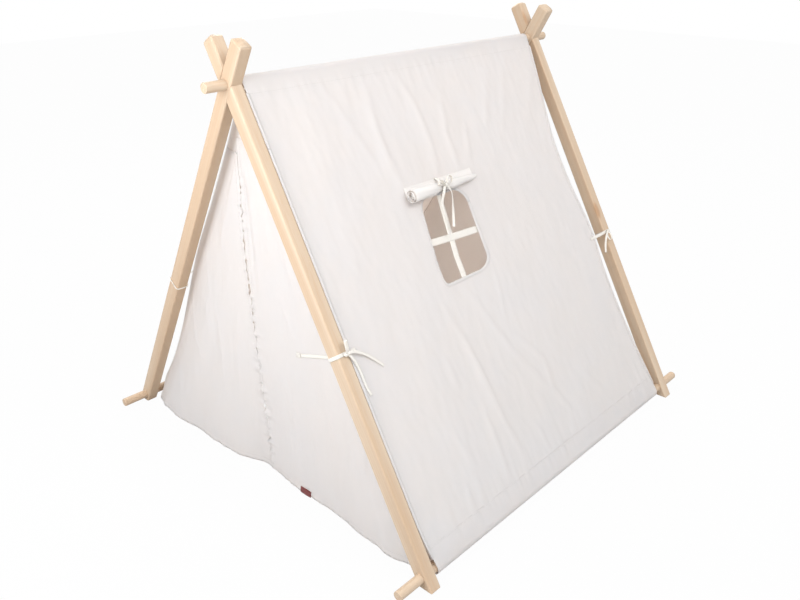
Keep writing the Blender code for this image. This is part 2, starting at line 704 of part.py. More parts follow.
def by_pole(side, end, across, along, up):
    """A point by a pole's tie: off the poles' mid plane, along the ridge outward, up the pole."""
    return slope_point(side, end * (POLE_PLANE + along), TIE_DISTANCE - up, across)


# side, end, knot's place along the ridge, its size, and its loops and tails. A piece leaves beside the
# knot or over it, with a width and its steps from there: off the slope, towards the cloth, up the pole.
BOWS = {
    "right_front": (1, -1, -0.004, KNOT_SIZE, {
        "loop": ("beside", 0.0060, [(0, 0, 0.0008), (0.004, 0.003, 0.017), (0.008, 0.001, 0.028),
                                    (0.011, -0.005, 0.021), (0.009, -0.007, 0.010)]),
        "tail_long": ("beside", 0.0064, [(0, 0, -0.0008), (0.001, 0.008, -0.016), (-0.004, 0.016, -0.044),
                                         (-0.005, 0.017, -0.074), (-0.005, 0.021, -0.100)]),
        "tail_short": ("over", 0.0064, [(0, 0, 0), (0.001, 0.010, 0), (-0.002, 0.028, -0.006),
                                        (-0.006, 0.052, -0.022), (-0.0085, 0.072, -0.042),
                                        (-0.009, 0.084, -0.056)])}),
    "right_rear": (1, 1, -0.006, KNOT_SIZE, {
        "loop": ("beside", 0.0056, [(0, 0, -0.0008), (0.002, 0.006, -0.010), (0.004, 0.004, -0.020),
                                    (0.007, -0.002, -0.015), (0.006, -0.004, -0.008)]),
        "tail": ("over", 0.0056, [(0, 0, 0), (0.002, 0.012, -0.002), (0.001, 0.024, -0.012),
                                  (-0.004, 0.032, -0.030), (-0.009, 0.038, -0.052)])}),
    "left_front": (-1, -1, -0.002, 0.008, {
        "tail": ("beside", CORD_WIDTH, [(0, 0, 0.001), (0.004, 0.002, 0.008), (0.007, 0.001, 0.016)])}),
    "left_rear": (-1, 1, -0.002, 0.008, {
        "tail": ("beside", CORD_WIDTH, [(0, 0, 0.001), (0.004, 0.002, 0.008), (0.007, 0.001, 0.016)])}),
}
for word, (side, end, along, size, pieces) in BOWS.items():
    high = BAND_OUT + SEAM_GAP + size * 0.35
    knot("tie_knot_" + word, by_pole(side, end, high, along, 0.0), (size * 0.7, size, size * 0.7))
    for part_name, (leaves, width, line) in pieces.items():
        over = leaves == "over"
        lift = size * 0.35 + TAPE_THICKNESS / 2 + SEAM_GAP if over else 0.0
        leave = along if over else along - size / 2 - width / 2 - SEAM_GAP
        points = [by_pole(side, end, high + lift + a, leave - b, c) for a, b, c in line]
        across = (lambda t, side=side: upward(side)) if over else sideways
        tape("tie_" + part_name + "_" + word, points, across, width)


# The right flap's ribbon lies on the flap from its sewn end to the facing, and the plain tab sits on the hem.
def ribbon_line():
    low, high = RIBBON_HEIGHT, RIBBON_HEIGHT + RIBBON_RISE
    start, end = RIBBON_PLACE, hinge_x(high) - HINGE_GAP - 0.004
    off = CLOTH / 2 + SEAM_GAP + TAPE_THICKNESS / 2
    return [flap_surface(1, start + (end - start) * i / 8, low + (high - low) * i / 8, off + 0.0004)
            for i in range(9)]


hang(tape("door_ribbon_right", ribbon_line(), lambda t: Vector((0, 0, 1))), door_right)


def tab_place(u, v):
    x = TAB_PLACE + TAB_WIDTH * (u - 0.5)
    height = HEM_HEIGHT + 0.001 + TAB_HEIGHT * v
    return flap_surface(1, x, height, CLOTH / 2 + SEAM_GAP + TAPE_THICKNESS / 2 + 0.0012)


hang(cloth_sheet("hem_tab", 4, 1, tab_place, TAB, TAPE_THICKNESS), door_right)

for thing in PARTS.objects:
    if thing.type == "MESH":
        thing.data.shade_smooth()
        thing.data.set_sharp_from_angle(angle=math.radians(40))
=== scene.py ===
# %% [markdown]
# # A play tent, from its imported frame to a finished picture
# The tent has four pine poles, halved into each other in pairs, three round dowels and a sewn cotton cover
# with two door flaps and a window under a rolled blind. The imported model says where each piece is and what
# it moves with. Every lesson below makes one piece or one finish, in metres, right where it belongs.

# %% Load the frame
import math

import bmesh
import bpy
from mathutils import Matrix, Vector, noise


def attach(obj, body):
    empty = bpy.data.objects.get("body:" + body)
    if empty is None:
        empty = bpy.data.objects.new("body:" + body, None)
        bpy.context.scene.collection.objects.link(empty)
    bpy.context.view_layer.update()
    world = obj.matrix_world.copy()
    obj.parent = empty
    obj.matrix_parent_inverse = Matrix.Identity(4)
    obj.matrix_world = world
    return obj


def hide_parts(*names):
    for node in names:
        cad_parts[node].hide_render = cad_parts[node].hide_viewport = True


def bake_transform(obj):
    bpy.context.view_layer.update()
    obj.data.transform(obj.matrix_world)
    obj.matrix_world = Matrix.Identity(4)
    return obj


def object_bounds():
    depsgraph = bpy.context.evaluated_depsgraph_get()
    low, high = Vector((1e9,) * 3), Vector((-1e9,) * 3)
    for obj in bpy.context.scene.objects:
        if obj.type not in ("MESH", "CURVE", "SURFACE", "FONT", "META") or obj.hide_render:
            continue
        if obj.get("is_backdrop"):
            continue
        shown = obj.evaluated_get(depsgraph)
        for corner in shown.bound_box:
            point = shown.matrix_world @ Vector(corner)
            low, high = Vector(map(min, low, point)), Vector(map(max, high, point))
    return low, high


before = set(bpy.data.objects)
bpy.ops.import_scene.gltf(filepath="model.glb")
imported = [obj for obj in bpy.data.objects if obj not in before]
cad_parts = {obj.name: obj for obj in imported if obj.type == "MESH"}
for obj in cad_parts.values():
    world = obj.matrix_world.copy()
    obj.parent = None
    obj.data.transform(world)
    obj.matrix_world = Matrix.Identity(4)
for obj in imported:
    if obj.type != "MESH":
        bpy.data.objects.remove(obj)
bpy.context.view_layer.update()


def in_scene(name, data):
    """Puts a mesh, a curve, a lamp or a camera into the scene."""
    made = bpy.data.objects.new(name, data)
    bpy.context.scene.collection.objects.link(made)
    return made



# %% [markdown]
# ## The camera
# A product photograph of a tent is taken from a little above a child's height, so that one gable and one
# slope show. The camera's place, turn and lens repeat that viewpoint. A camera looks along its own -Z, so it
# is turned up from the floor by 90 degrees less the angle at which it looks down.

# %% Camera
CAMERA_PLACE = Vector((1.3485, -1.4645, 1.2296))
LOOKS_DOWN, TURNED, ROLLED = math.radians(24.878), math.radians(43.137), math.radians(-0.077)
SENSOR_WIDTH, FOCAL_LENGTH = 36.0, 35.83        # mm

lens = bpy.data.cameras.new("camera")
lens.sensor_width, lens.lens = SENSOR_WIDTH, FOCAL_LENGTH
camera = in_scene("camera", lens)
turn = (Matrix.Rotation(TURNED, 4, "Z") @ Matrix.Rotation(math.pi / 2 - LOOKS_DOWN, 4, "X")
        @ Matrix.Rotation(ROLLED, 4, "Z"))
camera.matrix_world = Matrix.Translation(CAMERA_PLACE) @ turn
bpy.context.scene.camera = camera
print("camera looks along", [round(c, 3) for c in camera.matrix_world.to_3x3() @ Vector((0, 0, -1))])

# %% [markdown]
# ## The tent's measures
# A tent like this is set out from its ridge dowel. One leg of a pole pair leans by a fixed angle, so each
# point of a slope has three numbers: how far along the ridge it is, how far down the slope, and how far it
# stands off the poles' middle. Working in these three keeps the sewing lines straight.

# %% Measures of the frame and the cover
RIDGE_HEIGHT = 0.954
BASE_DOWEL_HEIGHT = 0.0235
LEG_SPREAD = 0.529              # base dowels, from the middle
POLE_WIDTH, POLE_DEPTH, POLE_EDGE = 0.034, 0.030, 0.004
POLE_PLANE = 0.516              # a pole pair's middle, from the tent's middle
DOWEL_RADIUS = 0.011
COVER_HALF_TOP, COVER_HALF_FOOT = 0.480, 0.492  # half the cover's length, at the ridge and at the floor
# a corner is (side, end): side +1 right, -1 left; end -1 front, +1 rear
CORNERS = {(1, -1): "right_front", (1, 1): "right_rear", (-1, -1): "left_front", (-1, 1): "left_rear"}
TIE_DOWN = {(1, -1): 0.584, (1, 1): 0.594, (-1, -1): 0.593, (-1, 1): 0.590}     # down from the ridge
GABLE_TOP, HEM_HEIGHT = 0.938, 0.010
SLOPE_OFF = 0.0146              # middle of the cloth from the poles' middle
COTTON_THICK = 0.001

DROP = RIDGE_HEIGHT - BASE_DOWEL_HEIGHT
LEAN = math.atan2(LEG_SPREAD, DROP)
SINE, COSINE, TANGENT = math.sin(LEAN), math.cos(LEAN), math.tan(LEAN)
ALONG = Vector((0, 1, 0))       # along the ridge, from the doors to the closed end
LEG = math.hypot(LEG_SPREAD, DROP)


def slope_point(side, along, down, off):
    """A point by its place along the ridge, down a slope and off the poles' middle; side is +1 right."""
    return Vector((side * (down * SINE + off * COSINE), along, RIDGE_HEIGHT - down * COSINE + off * SINE))


def slope_up(side):
    """The way up a slope, which is also the way up its poles."""
    return Vector((-side * SINE, 0, COSINE))


def slope_out(side):
    """The way out of a slope, square to it."""
    return Vector((side * COSINE, 0, SINE))


def along_knots(knots, at):
    """A smooth curve through a few pairs of (place, value)."""
    at = min(max(at, knots[0][0]), knots[-1][0])
    k = next(i for i in range(1, len(knots)) if at <= knots[i][0]) - 1
    (x0, y0), (x1, y1) = knots[k], knots[k + 1]
    before, after = knots[max(k - 1, 0)], knots[min(k + 2, len(knots) - 1)]
    tilt0, tilt1 = (y1 - before[1]) / (x1 - before[0]), (after[1] - y0) / (after[0] - x0)
    t, wide = (at - x0) / (x1 - x0), x1 - x0
    leaving, arriving = y0 * (1 + 2 * t) + tilt0 * wide * t, y1 * (3 - 2 * t) - tilt1 * wide * (1 - t)
    return leaving * (1 - t) ** 2 + arriving * t ** 2


# The slopes' side edges, as mm down the slope and mm along the ridge from its middle. The cover is drawn
# towards the front on the window's side, so each corner of the tent has its own line.
COVER_EDGES = {
    (1, -1): ((0, 499.0), (120, 499.2), (960, 499.2), (1010, 497.5), (1045, 493), (1070, 490)),
    (1, 1): ((0, 481), (110, 464), (230, 438), (310, 427), (420, 429), (565, 447), (690, 439), (775, 440),
             (900, 450), (1070, 474)),
    (-1, -1): ((0, 478), (135, 467), (335, 465), (500, 468), (600, 463), (680, 457), (920, 443), (1070, 459)),
    (-1, 1): ((0, 480), (300, 466), (600, 480), (830, 464), (1070, 480)),
}


def cover_edge(down, side, end):
    """The distance from the ridge's middle to a slope's front (end -1) or rear (end 1) edge."""
    return along_knots(COVER_EDGES[side, end], down * 1000) / 1000


print("a leg leans %.2f degrees and is %.0f mm long between its dowels" % (math.degrees(LEAN), LEG * 1000))

# %% [markdown]
# ## Helpers for the materials
# A procedural finish is a small tree of nodes. Short helpers keep each tree readable: they add a node and
# wire its inputs, mix two colours or two shaders, do one step of arithmetic, stretch a value or a vector,
# make noise and bump a surface.

# %% Node helpers
def new_finish(name, roughness, **fixed):
    """A material with one Principled shader; the fixed inputs are set on the shader itself."""
    made = bpy.data.materials.new(name)
    made.use_nodes = True
    shader = made.node_tree.nodes["Principled BSDF"]
    shader.inputs["Roughness"].default_value = roughness
    for key, value in fixed.items():
        shader.inputs[key.replace("_", " ")].default_value = value
    return made, made.node_tree, shader


def node(tree, kind, settings=None, **inputs):
    """Adds a node. An input is a value, or another node's output socket."""
    made = tree.nodes.new("ShaderNode" + kind)
    for key, value in (settings or {}).items():
        setattr(made, key, value)
    for key, value in inputs.items():
        socket = made.inputs[key.replace("_", " ")]
        if isinstance(value, bpy.types.NodeSocket):
            tree.links.new(value, socket)
        else:
            socket.default_value = value
    return made


def plug(tree, node_made, index, value):
    """Sets or wires one input by its number, for nodes whose inputs share a name."""
    if isinstance(value, bpy.types.NodeSocket):
        tree.links.new(value, node_made.inputs[index])
    else:
        node_made.inputs[index].default_value = value


def mixed(tree, share, first, second):
    """A colour between two colours."""
    made = tree.nodes.new("ShaderNodeMix")
    made.data_type = "RGBA"
    for index, value in ((0, share), (6, first), (7, second)):
        plug(tree, made, index, value)
    return made.outputs[2]


def sums(tree, operation, *values):
    """One step of arithmetic."""
    made = tree.nodes.new("ShaderNodeMath")
    made.operation = operation
    for index, value in enumerate(values):
        plug(tree, made, index, value)
    return made.outputs[0]


def between(tree, value, low, high):
    """Stretches the part of a value from low to high over 0 to 1."""
    return node(tree, "MapRange", {"interpolation_type": "SMOOTHSTEP"}, Value=value, From_Min=low,
                From_Max=high).outputs[0]


def stretched(tree, vector, *scale):
    """A vector scaled along its three axes."""
    return node(tree, "Mapping", None, Vector=vector, Scale=scale).outputs[0]


def grain_noise(tree, vector, scale, detail=3.0, roughness=0.5):
    return node(tree, "TexNoise", None, Vector=vector, Scale=scale, Detail=detail,
                Roughness=roughness).outputs["Fac"]


def bumped(tree, shader, height, strength, distance):
    """Bumps a shader's surface by a height, and returns the bumped normal."""
    normal = node(tree, "Bump", None, Height=height, Strength=strength, Distance=distance).outputs[0]
    tree.links.new(normal, shader.inputs["Normal"])
    return normal


def two_shaders(tree, share, first, second, output):
    """Mixes two shaders and wires them to a tree's output."""
    both = node(tree, "MixShader", None, Fac=share)
    for start, end in ((first, both.inputs[1]), (second, both.inputs[2]), (both, output.inputs["Surface"])):
        tree.links.new(start.outputs[0], end)


# %% [markdown]
# ## Pine
# The poles are planed pine. A plank shows the tree's growth rings: on its faces they are long, nearly
# straight streaks, on its end they are arcs. So the pattern is made in the plank's own space, as rings round
# a pith that lies outside the pole, and stretched along the length. Each piece carries its own coordinates
# in an attribute called grain, shifted by piece, so that no two poles look alike.

# %% Pine finish
PALE_PINE, WARM_PINE = (0.625, 0.500, 0.372, 1), (0.560, 0.412, 0.284, 1)
LATE_WOOD, FIBRE, PINE_KNOT = (0.560, 0.370, 0.230, 1), (0.560, 0.385, 0.245, 1), (0.430, 0.220, 0.100, 1)


def pine_finish():
    """Planed pine: growth rings, fine fibre, a few knots and slow changes of tone."""
    made, tree, shader = new_finish("pine", 0.52, Specular_IOR_Level=0.32, Coat_Weight=0.05, Coat_Roughness=0.4)
    place = node(tree, "Attribute", {"attribute_name": "grain"}).outputs["Vector"]
    slow, fine = stretched(tree, place, 1.0, 1.0, 0.045), stretched(tree, place, 1.0, 1.0, 0.012)
    rings = node(tree, "TexWave", {"wave_type": "RINGS", "rings_direction": "Z", "wave_profile": "SAW"},
                 Vector=slow, Scale=44.0, Distortion=2.6, Detail=2.0, Detail_Scale=9.0).outputs["Fac"]
    late = between(tree, rings, 0.35, 1.0)
    fibre = grain_noise(tree, fine, 900.0, 4.0, 0.6)
    cloud = grain_noise(tree, slow, 30.0, 2.0)
    tone = mixed(tree, between(tree, cloud, 0.3, 0.7), PALE_PINE, WARM_PINE)
    streaked = mixed(tree, sums(tree, "MULTIPLY", late, 0.34), tone, LATE_WOOD)
    fibred = mixed(tree, sums(tree, "MULTIPLY", between(tree, fibre, 0.50, 0.80), 0.28), streaked, FIBRE)
    knots = node(tree, "TexVoronoi", {"feature": "F1"}, Scale=5.0,
                 Vector=stretched(tree, place, 1.4, 1.4, 0.62)).outputs["Distance"]
    knot_mark = sums(tree, "MULTIPLY", between(tree, knots, 0.11, 0.055), 0.6)
    tree.links.new(mixed(tree, knot_mark, fibred, PINE_KNOT), shader.inputs["Base Color"])
    tree.links.new(sums(tree, "MULTIPLY_ADD", fibre, 0.18, 0.43), shader.inputs["Roughness"])
    bumped(tree, shader, sums(tree, "ADD", sums(tree, "MULTIPLY", late, 0.35), fibre), 0.22, 0.0004)
    return made


PINE = pine_finish()

# %% [markdown]
# ## Cotton
# The cover is plain-woven, unbleached cotton. It is matt, slightly fuzzy, and thin enough for daylight to
# glow through, so a Translucent shader is mixed into the Principled one. The weave follows the cloth, not
# the room: two sets of fine bands read the cloth's own UV map, which holds metres of cloth. Slow noise gives
# the warm and cool patches that washing leaves, and stretched noise the thicker threads.

# %% Cotton finish
def cotton_finish(name, warm, cool, glow, glow_share, thread=0.0009):
    """Woven cotton of two slowly changing tones; glow is the light that comes through it, and its share."""
    made, tree, shader = new_finish(name, 0.88, Specular_IOR_Level=0.18, Sheen_Weight=0.22, Sheen_Roughness=0.5)
    cloth = node(tree, "UVMap", {"uv_map": "cloth"}).outputs[0]
    solid = node(tree, "TexCoord").outputs["Object"]
    patches = between(tree, grain_noise(tree, solid, 6.0, 3.0, 0.6), 0.35, 0.65)
    tone = mixed(tree, patches, (*warm, 1), (*cool, 1))
    slubs = sums(tree, "MAXIMUM", *(grain_noise(tree, stretched(tree, cloth, *scale), 1.0, 1.0)
                                    for scale in ((14.0, 900.0, 1.0), (900.0, 14.0, 1.0))))
    marked = mixed(tree, sums(tree, "MULTIPLY", between(tree, slubs, 0.62, 0.90), 0.22), tone,
                   tuple(c * 0.86 for c in warm) + (1,))
    tree.links.new(marked, shader.inputs["Base Color"])
    threads = (node(tree, "TexWave", {"bands_direction": way}, Vector=cloth, Scale=math.pi / (10 * thread),
                    Distortion=0.4).outputs["Fac"] for way in "XY")
    normal = bumped(tree, shader, sums(tree, "ADD", sums(tree, "MAXIMUM", *threads), slubs), 0.16, 0.0003)
    light = node(tree, "BsdfTranslucent", None, Color=(*glow, 1), Normal=normal)
    two_shaders(tree, glow_share, shader, light, tree.nodes["Material Output"])
    return made


COTTON = cotton_finish("cotton", warm=(0.838, 0.872, 0.890), cool=(0.828, 0.872, 0.902),
                       glow=(0.97, 0.87, 0.80), glow_share=0.50)
# The blind is the cover's own cotton painted lighter: painted light, standing in for the brighter light on the
# roll, which gets no light through the cloth from inside as the slope does.
BLIND_COTTON_PAINTED_LIGHTER = cotton_finish("cotton_blind_painted_lighter", warm=(0.935, 0.935, 0.925), cool=(0.925, 0.935, 0.938),
                             glow=(0.97, 0.90, 0.84), glow_share=0.42)
TAPE = cotton_finish("cotton_tape", warm=(0.900, 0.875, 0.820), cool=(0.880, 0.860, 0.815),
                     glow=(0.93, 0.86, 0.76), glow_share=0.26, thread=0.0012)
THREAD = new_finish("sewing_thread", 0.6, Base_Color=(0.70, 0.67, 0.63, 1), Sheen_Weight=0.3)[0]

# %% [markdown]
# ## A plain woven tab
# A small dark red tab is sewn into the door's hem. It carries no words. Its weave is a fine rib, made from
# bands across its own UV map, and it is a little lighter in random worn patches.

# %% Tab finish
TAB_RED, TAB_WORN, TAB_RIB = (0.150, 0.022, 0.020, 1), (0.230, 0.050, 0.042, 1), (0.09, 0.012, 0.012, 1)


def tab_finish():
    """A finely ribbed dark red band, a little lighter where it is worn."""
    made, tree, shader = new_finish("red_tab", 0.7, Specular_IOR_Level=0.3, Sheen_Weight=0.3)
    cloth = node(tree, "UVMap", {"uv_map": "cloth"}).outputs[0]
    rib = node(tree, "TexWave", {"bands_direction": "Y"}, Vector=cloth, Scale=520.0).outputs["Fac"]
    worn = between(tree, grain_noise(tree, cloth, 240.0), 0.4, 0.7)
    tone = mixed(tree, worn, TAB_RED, TAB_WORN)
    tree.links.new(mixed(tree, sums(tree, "MULTIPLY", rib, 0.3), tone, TAB_RIB), shader.inputs["Base Color"])
    bumped(tree, shader, rib, 0.3, 0.0002)
    return made


RED_TAB = tab_finish()
print("finishes:", [m.name for m in bpy.data.materials if m.users == 0])

# %% [markdown]
# ## Poles and dowels
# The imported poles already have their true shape: rounded edges, halvings and dowel holes. Their triangles
# are loose, though, so each facet would show. A copy of each mesh is merged, its top is worn rounder, it is
# shaded smooth with its real edges kept sharp, and given its grain coordinates.

# %% Wood pieces
TOP_ROUND, ROUND_REACH = 0.013, 0.0175          # radius of a worn top, and how far from its axis it counts
ROUND_RINGS = (1.0, 0.72, 0.48, 0.28, 0.13, 0.04)


def round_top(bm, length_axis):
    """Rounds a pole's top: rings are cut near its end, and each is drawn in along a quarter circle."""
    top = max(v.co.dot(length_axis) for v in bm.verts)
    end = [v for v in bm.verts if v.co.dot(length_axis) > top - 1e-4]
    axis = sum((v.co for v in end), Vector()) / len(end)
    for depth in ROUND_RINGS:
        bmesh.ops.bisect_plane(bm, geom=bm.verts[:] + bm.edges[:] + bm.faces[:], dist=1e-6,
                               plane_co=axis - length_axis * TOP_ROUND * depth, plane_no=length_axis)
    for vert in bm.verts:
        depth = (top - vert.co.dot(length_axis)) / TOP_ROUND
        if depth < 0.999:
            middle = axis + length_axis * (vert.co - axis).dot(length_axis)
            inwards = TOP_ROUND * (1 - math.sqrt(1 - (1 - max(depth, 0.0)) ** 2))
            vert.co = middle + (vert.co - middle) * (1 - inwards / ROUND_REACH)


def wood_piece(name, body, length_axis, shift):
    """A packed wood piece's own mesh in pine, its grain along its length; shift is its place in the plank."""
    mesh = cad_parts[name].data.copy()
    bm = bmesh.new()
    bm.from_mesh(mesh)
    bmesh.ops.remove_doubles(bm, verts=bm.verts, dist=1e-5)
    bmesh.ops.dissolve_limit(bm, angle_limit=math.radians(0.5), verts=bm.verts, edges=bm.edges)
    if name.startswith("pole"):
        round_top(bm, length_axis)
    bm.to_mesh(mesh)
    bm.free()
    mesh.shade_smooth()
    mesh.set_sharp_from_angle(angle=math.radians(38))
    grain = mesh.attributes.new("grain", "FLOAT_VECTOR", "POINT")
    beside = length_axis.cross(ALONG if abs(length_axis.y) < 0.5 else Vector((1, 0, 0))).normalized()
    upright = beside.cross(length_axis)
    for vert, value in zip(mesh.vertices, grain.data):
        value.vector = Vector((vert.co.dot(beside), vert.co.dot(upright), vert.co.dot(length_axis))) + shift
    mesh.materials.clear()
    mesh.materials.append(PINE)
    piece = in_scene("pine_" + name, mesh)
    weighted = piece.modifiers.new("even shading", "WEIGHTED_NORMAL")
    weighted.keep_sharp = True
    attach(piece, body)
    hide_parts(name)
    return piece


for count, ((side, end), word) in enumerate(CORNERS.items()):
    wood_piece("pole_" + word, "frame", slope_up(side),
               Vector((0.061 + 0.013 * count, 0.55 - 0.017 * count, 1.9 * count)))
for count, name in enumerate(("ridge_dowel", "base_dowel_right", "base_dowel_left")):
    wood_piece(name, name, ALONG, Vector((0.03 + 0.02 * count, 0.02 - 0.96 * (count == 0), 9 + count)))

# %% [markdown]
# ## Helpers for the cloth
# Every cloth starts as a flat grid of small squares whose UV map is the cloth itself, in metres. Then one
# function says where each point of the flat cloth hangs. That keeps the weave, hems and stitches true to
# the cloth. Solidify gives it its thickness at the end.

# %% Cloth helpers
def cloth_grid(columns, rows, place, thread=None):
    """A grid whose points are set by place(u, v), both from 0 to 1; thread(u, v) is the flat cloth."""
    bm = bmesh.new()
    bmesh.ops.create_grid(bm, x_segments=columns, y_segments=rows, size=0.5)
    uv = bm.loops.layers.uv.new("cloth")
    for face in bm.faces:
        for loop in face.loops:
            u, v = loop.vert.co.x + 0.5, loop.vert.co.y + 0.5
            loop[uv].uv = thread(u, v) if thread else (u, v)
    for vert in bm.verts:
        vert.co = place(min(max(vert.co.x + 0.5, 0.0), 1.0), min(max(vert.co.y + 0.5, 0.0), 1.0))
    return bm


def finish_piece(name, bm, material, body=None, nodes=(), thick=0.0):
    """Makes a mesh one named piece: smooth, with its finish, its body and the solids it stands for."""
    mesh = bpy.data.meshes.new(name)
    bm.to_mesh(mesh)
    bm.free()
    mesh.materials.append(material)
    mesh.shade_smooth()
    piece = in_scene(name, mesh)
    if thick:
        shell = piece.modifiers.new("cloth thickness", "SOLIDIFY")
        shell.thickness = thick
        shell.offset = 0.0
    if body:
        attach(piece, body)
    if nodes:
        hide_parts(*nodes)
    return piece


def ease(value):
    """0 below 0, 1 above 1, and smooth between."""
    value = min(max(value, 0.0), 1.0)
    return value * value * (3 - 2 * value)


def smooth_line(points, count):
    """Points at equal steps of parameter on a Catmull-Rom curve through the given ones."""
    pts = [Vector(p) for p in points]
    pts = [2 * pts[0] - pts[1], *pts, 2 * pts[-1] - pts[-2]]
    spans = len(pts) - 3
    line = []
    for i in range(count + 1):
        t = spans * i / count
        k = min(int(t), spans - 1)
        t -= k
        a, b, c, d = pts[k:k + 4]
        line.append(0.5 * (2 * b + (c - a) * t + (2 * a - 5 * b + 4 * c - d) * t * t
                           + (3 * b - a - 3 * c + d) * t ** 3))
    return line


def line_length(line):
    return sum((b - a).length for a, b in zip(line, line[1:]))


# %% [markdown]
# ## Where the slope is wrinkled
# A hand-sewn cover never hangs flat. Long soft creases run from the ridge towards the window's blind, and
# from the window down to the hem, where the cloth is pulled. Each is written as a line across the cloth, with
# a width and a height, and a smooth bump is raised along it. Fine noise, stretched down the slope, adds the
# small unevenness of washed cotton, and each row of stitches gathers the cloth into tiny puckers.

# %% Creases of the right slope
CREASES = (
    # height, width in mm, then points as mm along the ridge and down the slope
    (2.4, 14, (-308, 32), (-262, 162), (-232, 261)),
    (4.6, 15, (-181, 64), (-201, 164), (-195, 250), (-186, 314)),
    (3.4, 12, (-71, 54), (-52, 121), (-45, 212), (-57, 299)),
    (3.0, 11, (47, 111), (18, 203), (19, 295)),
    (2.2, 11, (98, 197), (58, 298)),
    (2.4, 14, (247, 80), (166, 219)),
    (1.8, 14, (317, 78), (235, 231)),
    (2.0, 18, (462, 66), (332, 248)),
    (1.6, 12, (-370, 59), (-372, 151)),
    (1.6, 12, (-248, 40), (-260, 135)),
    (2.6, 13, (-108, 564), (-37, 754), (64, 927)),
    (1.6, 9, (5, 572), (-16, 682)),
    (1.6, 10, (-197, 584), (-174, 703)),
    (1.6, 9, (-179, 665), (-150, 825)),
    (3.4, 12, (-166, 681), (-168, 765), (-150, 899), (-123, 1021)),
    (2.4, 11, (-8, 720), (59, 812), (56, 893), (106, 998)),
    (2.0, 11, (-312, 848), (-301, 896), (-283, 952)),
    (2.6, 10, (-200, 854), (-203, 1023)),
    (1.6, 10, (-253, 687), (-248, 768)),
    (2.4, 12, (189, 897), (233, 967), (259, 1024)),
    (1.6, 8, (84, 939), (79, 1020)),
    (1.8, 8, (-47, 939), (-41, 1023)),
    (1.8, 9, (-335, 965), (-345, 1040)),
    (1.8, 9, (-300, 963), (-305, 1024)),
)
STITCH_DOWN = 1.027             # the hem's row of stitches, down the slope
TUNNEL_DOWN = 0.031             # the ridge tunnel's row


def crease(lift, width, points, along, down):
    """The height of one crease at a point: highest on its line, fading to its sides and ends."""
    best, place = 1e9, 0.0
    spans = len(points) - 1
    for i in range(spans):
        (ax, ay), (bx, by) = points[i], points[i + 1]
        dx, dy = bx - ax, by - ay
        t = min(max(((along - ax) * dx + (down - ay) * dy) / (dx * dx + dy * dy), 0.0), 1.0)
        gap = (along - ax - t * dx) ** 2 + (down - ay - t * dy) ** 2
        if gap < best:
            best, place = gap, (i + t) / spans
    if best > 9 * width * width:
        return 0.0
    return lift * math.exp(-best / (width * width)) * math.sin(math.pi * (0.04 + 0.92 * place)) ** 0.6


def creased(creases, along, down):
    """The height of all of a cloth's creases at a point, in metres."""
    return sum(crease(high, width, points, along * 1000, down * 1000)
               for high, width, *points in creases) / 1000


def uneven(slow, fine, fine_height=0.0006):
    """The small unevenness of washed cotton, in metres, from slow and fine noise."""
    return (0.0022 * noise.fractal(Vector(slow), 1.0, 2.0, 4)
            + fine_height * noise.fractal(Vector(fine), 0.9, 2.0, 3))


def ripple(*place):
    """Smooth noise of about -0.5 to 0.5."""
    return noise.noise(Vector(place))


def puckers(along, down, row, seed, reach):
    """Small gathers on both sides of a row of stitches."""
    near = math.exp(-abs(down - row) / reach)
    wave = ripple(along * 52, seed, down * 5)
    wave += 0.6 * ripple(along * 110, seed + 7, 0)
    return 0.0021 * wave * near - 0.0012 * math.exp(-((down - row) / 0.0035) ** 2)


WINDOW_ALONG, WINDOW_DOWN = -0.076, 0.441
WINDOW_WIDE, WINDOW_LONG = 0.168, 0.204
WINDOW_ROUNDS = (0.036, 0.020, 0.026, 0.036)    # lower rear, lower front, upper front, upper rear


def window_drawn(a, d):
    """How the hanging cloth draws the window out of square, at a place from its middle."""
    across, low = a / (WINDOW_WIDE / 2), min(d, 0.050)
    front, middle, rear = -0.002 - 0.13 * low, -0.0145 - 0.12 * low, -0.003 - 0.01 * low
    along = middle + (rear - front) / 2 * across + ((rear + front) / 2 - middle) * across ** 2
    return along, (0.003 + 0.0045 * across) * (1 - (d / 0.102) ** 2)


def in_window(a, d):
    """A place (along, down) on the slope from a place in the square, undrawn window."""
    along, down = window_drawn(a, d)
    return WINDOW_ALONG + a + along, WINDOW_DOWN + d + down


def outside_window(along, down):
    """Distance from the window's rim, which is a rectangle with round corners; negative inside it."""
    a, d = along - WINDOW_ALONG, down - WINDOW_DOWN
    if max(abs(a), abs(d)) < 0.15:
        for _ in range(3):
            drawn = window_drawn(min(max(a, -0.1), 0.1), min(max(d, -0.11), 0.11))
            a, d = along - WINDOW_ALONG - drawn[0], down - WINDOW_DOWN - drawn[1]
    radius = WINDOW_ROUNDS[(0 if a > 0 else 1) if d > 0 else (3 if a > 0 else 2)]
    x, y = abs(a) - WINDOW_WIDE / 2 + radius, abs(d) - WINDOW_LONG / 2 + radius
    return math.hypot(max(x, 0), max(y, 0)) + min(max(x, y), 0) - radius


def slope_relief(side, along, down):
    """How far the cloth stands off the slope's plane, in metres, everything counted."""
    lift, seed = 0.0, 17.7
    if side > 0:
        kept_by_window = 0.35 + 0.65 * ease(outside_window(along, down) / 0.02)
        lift, seed = creased(CREASES, along, down) * kept_by_window, 3.1
    lift += uneven((along * 9, down * 3.2, seed), (along * 40, down * 17, seed), 0.0007)
    lift += puckers(along, down, STITCH_DOWN, seed + 1, 0.034)
    lift += 0.7 * puckers(along, down, TUNNEL_DOWN, seed + 2, 0.018)
    sag = -0.004 * math.sin(math.pi * min(max(down / LEG, 0), 1)) * math.cos(math.pi * along) ** 2
    end = 1 if along > 0 else -1
    inwards = cover_edge(down, side, end) - abs(along)
    kept = ease((inwards - 0.003) / 0.022) * ease(down / 0.02) * ease((LEG - down) / 0.02)
    return (lift + sag) * kept + corner_raise(side, end, down) * ease(1 - inwards / 0.035)


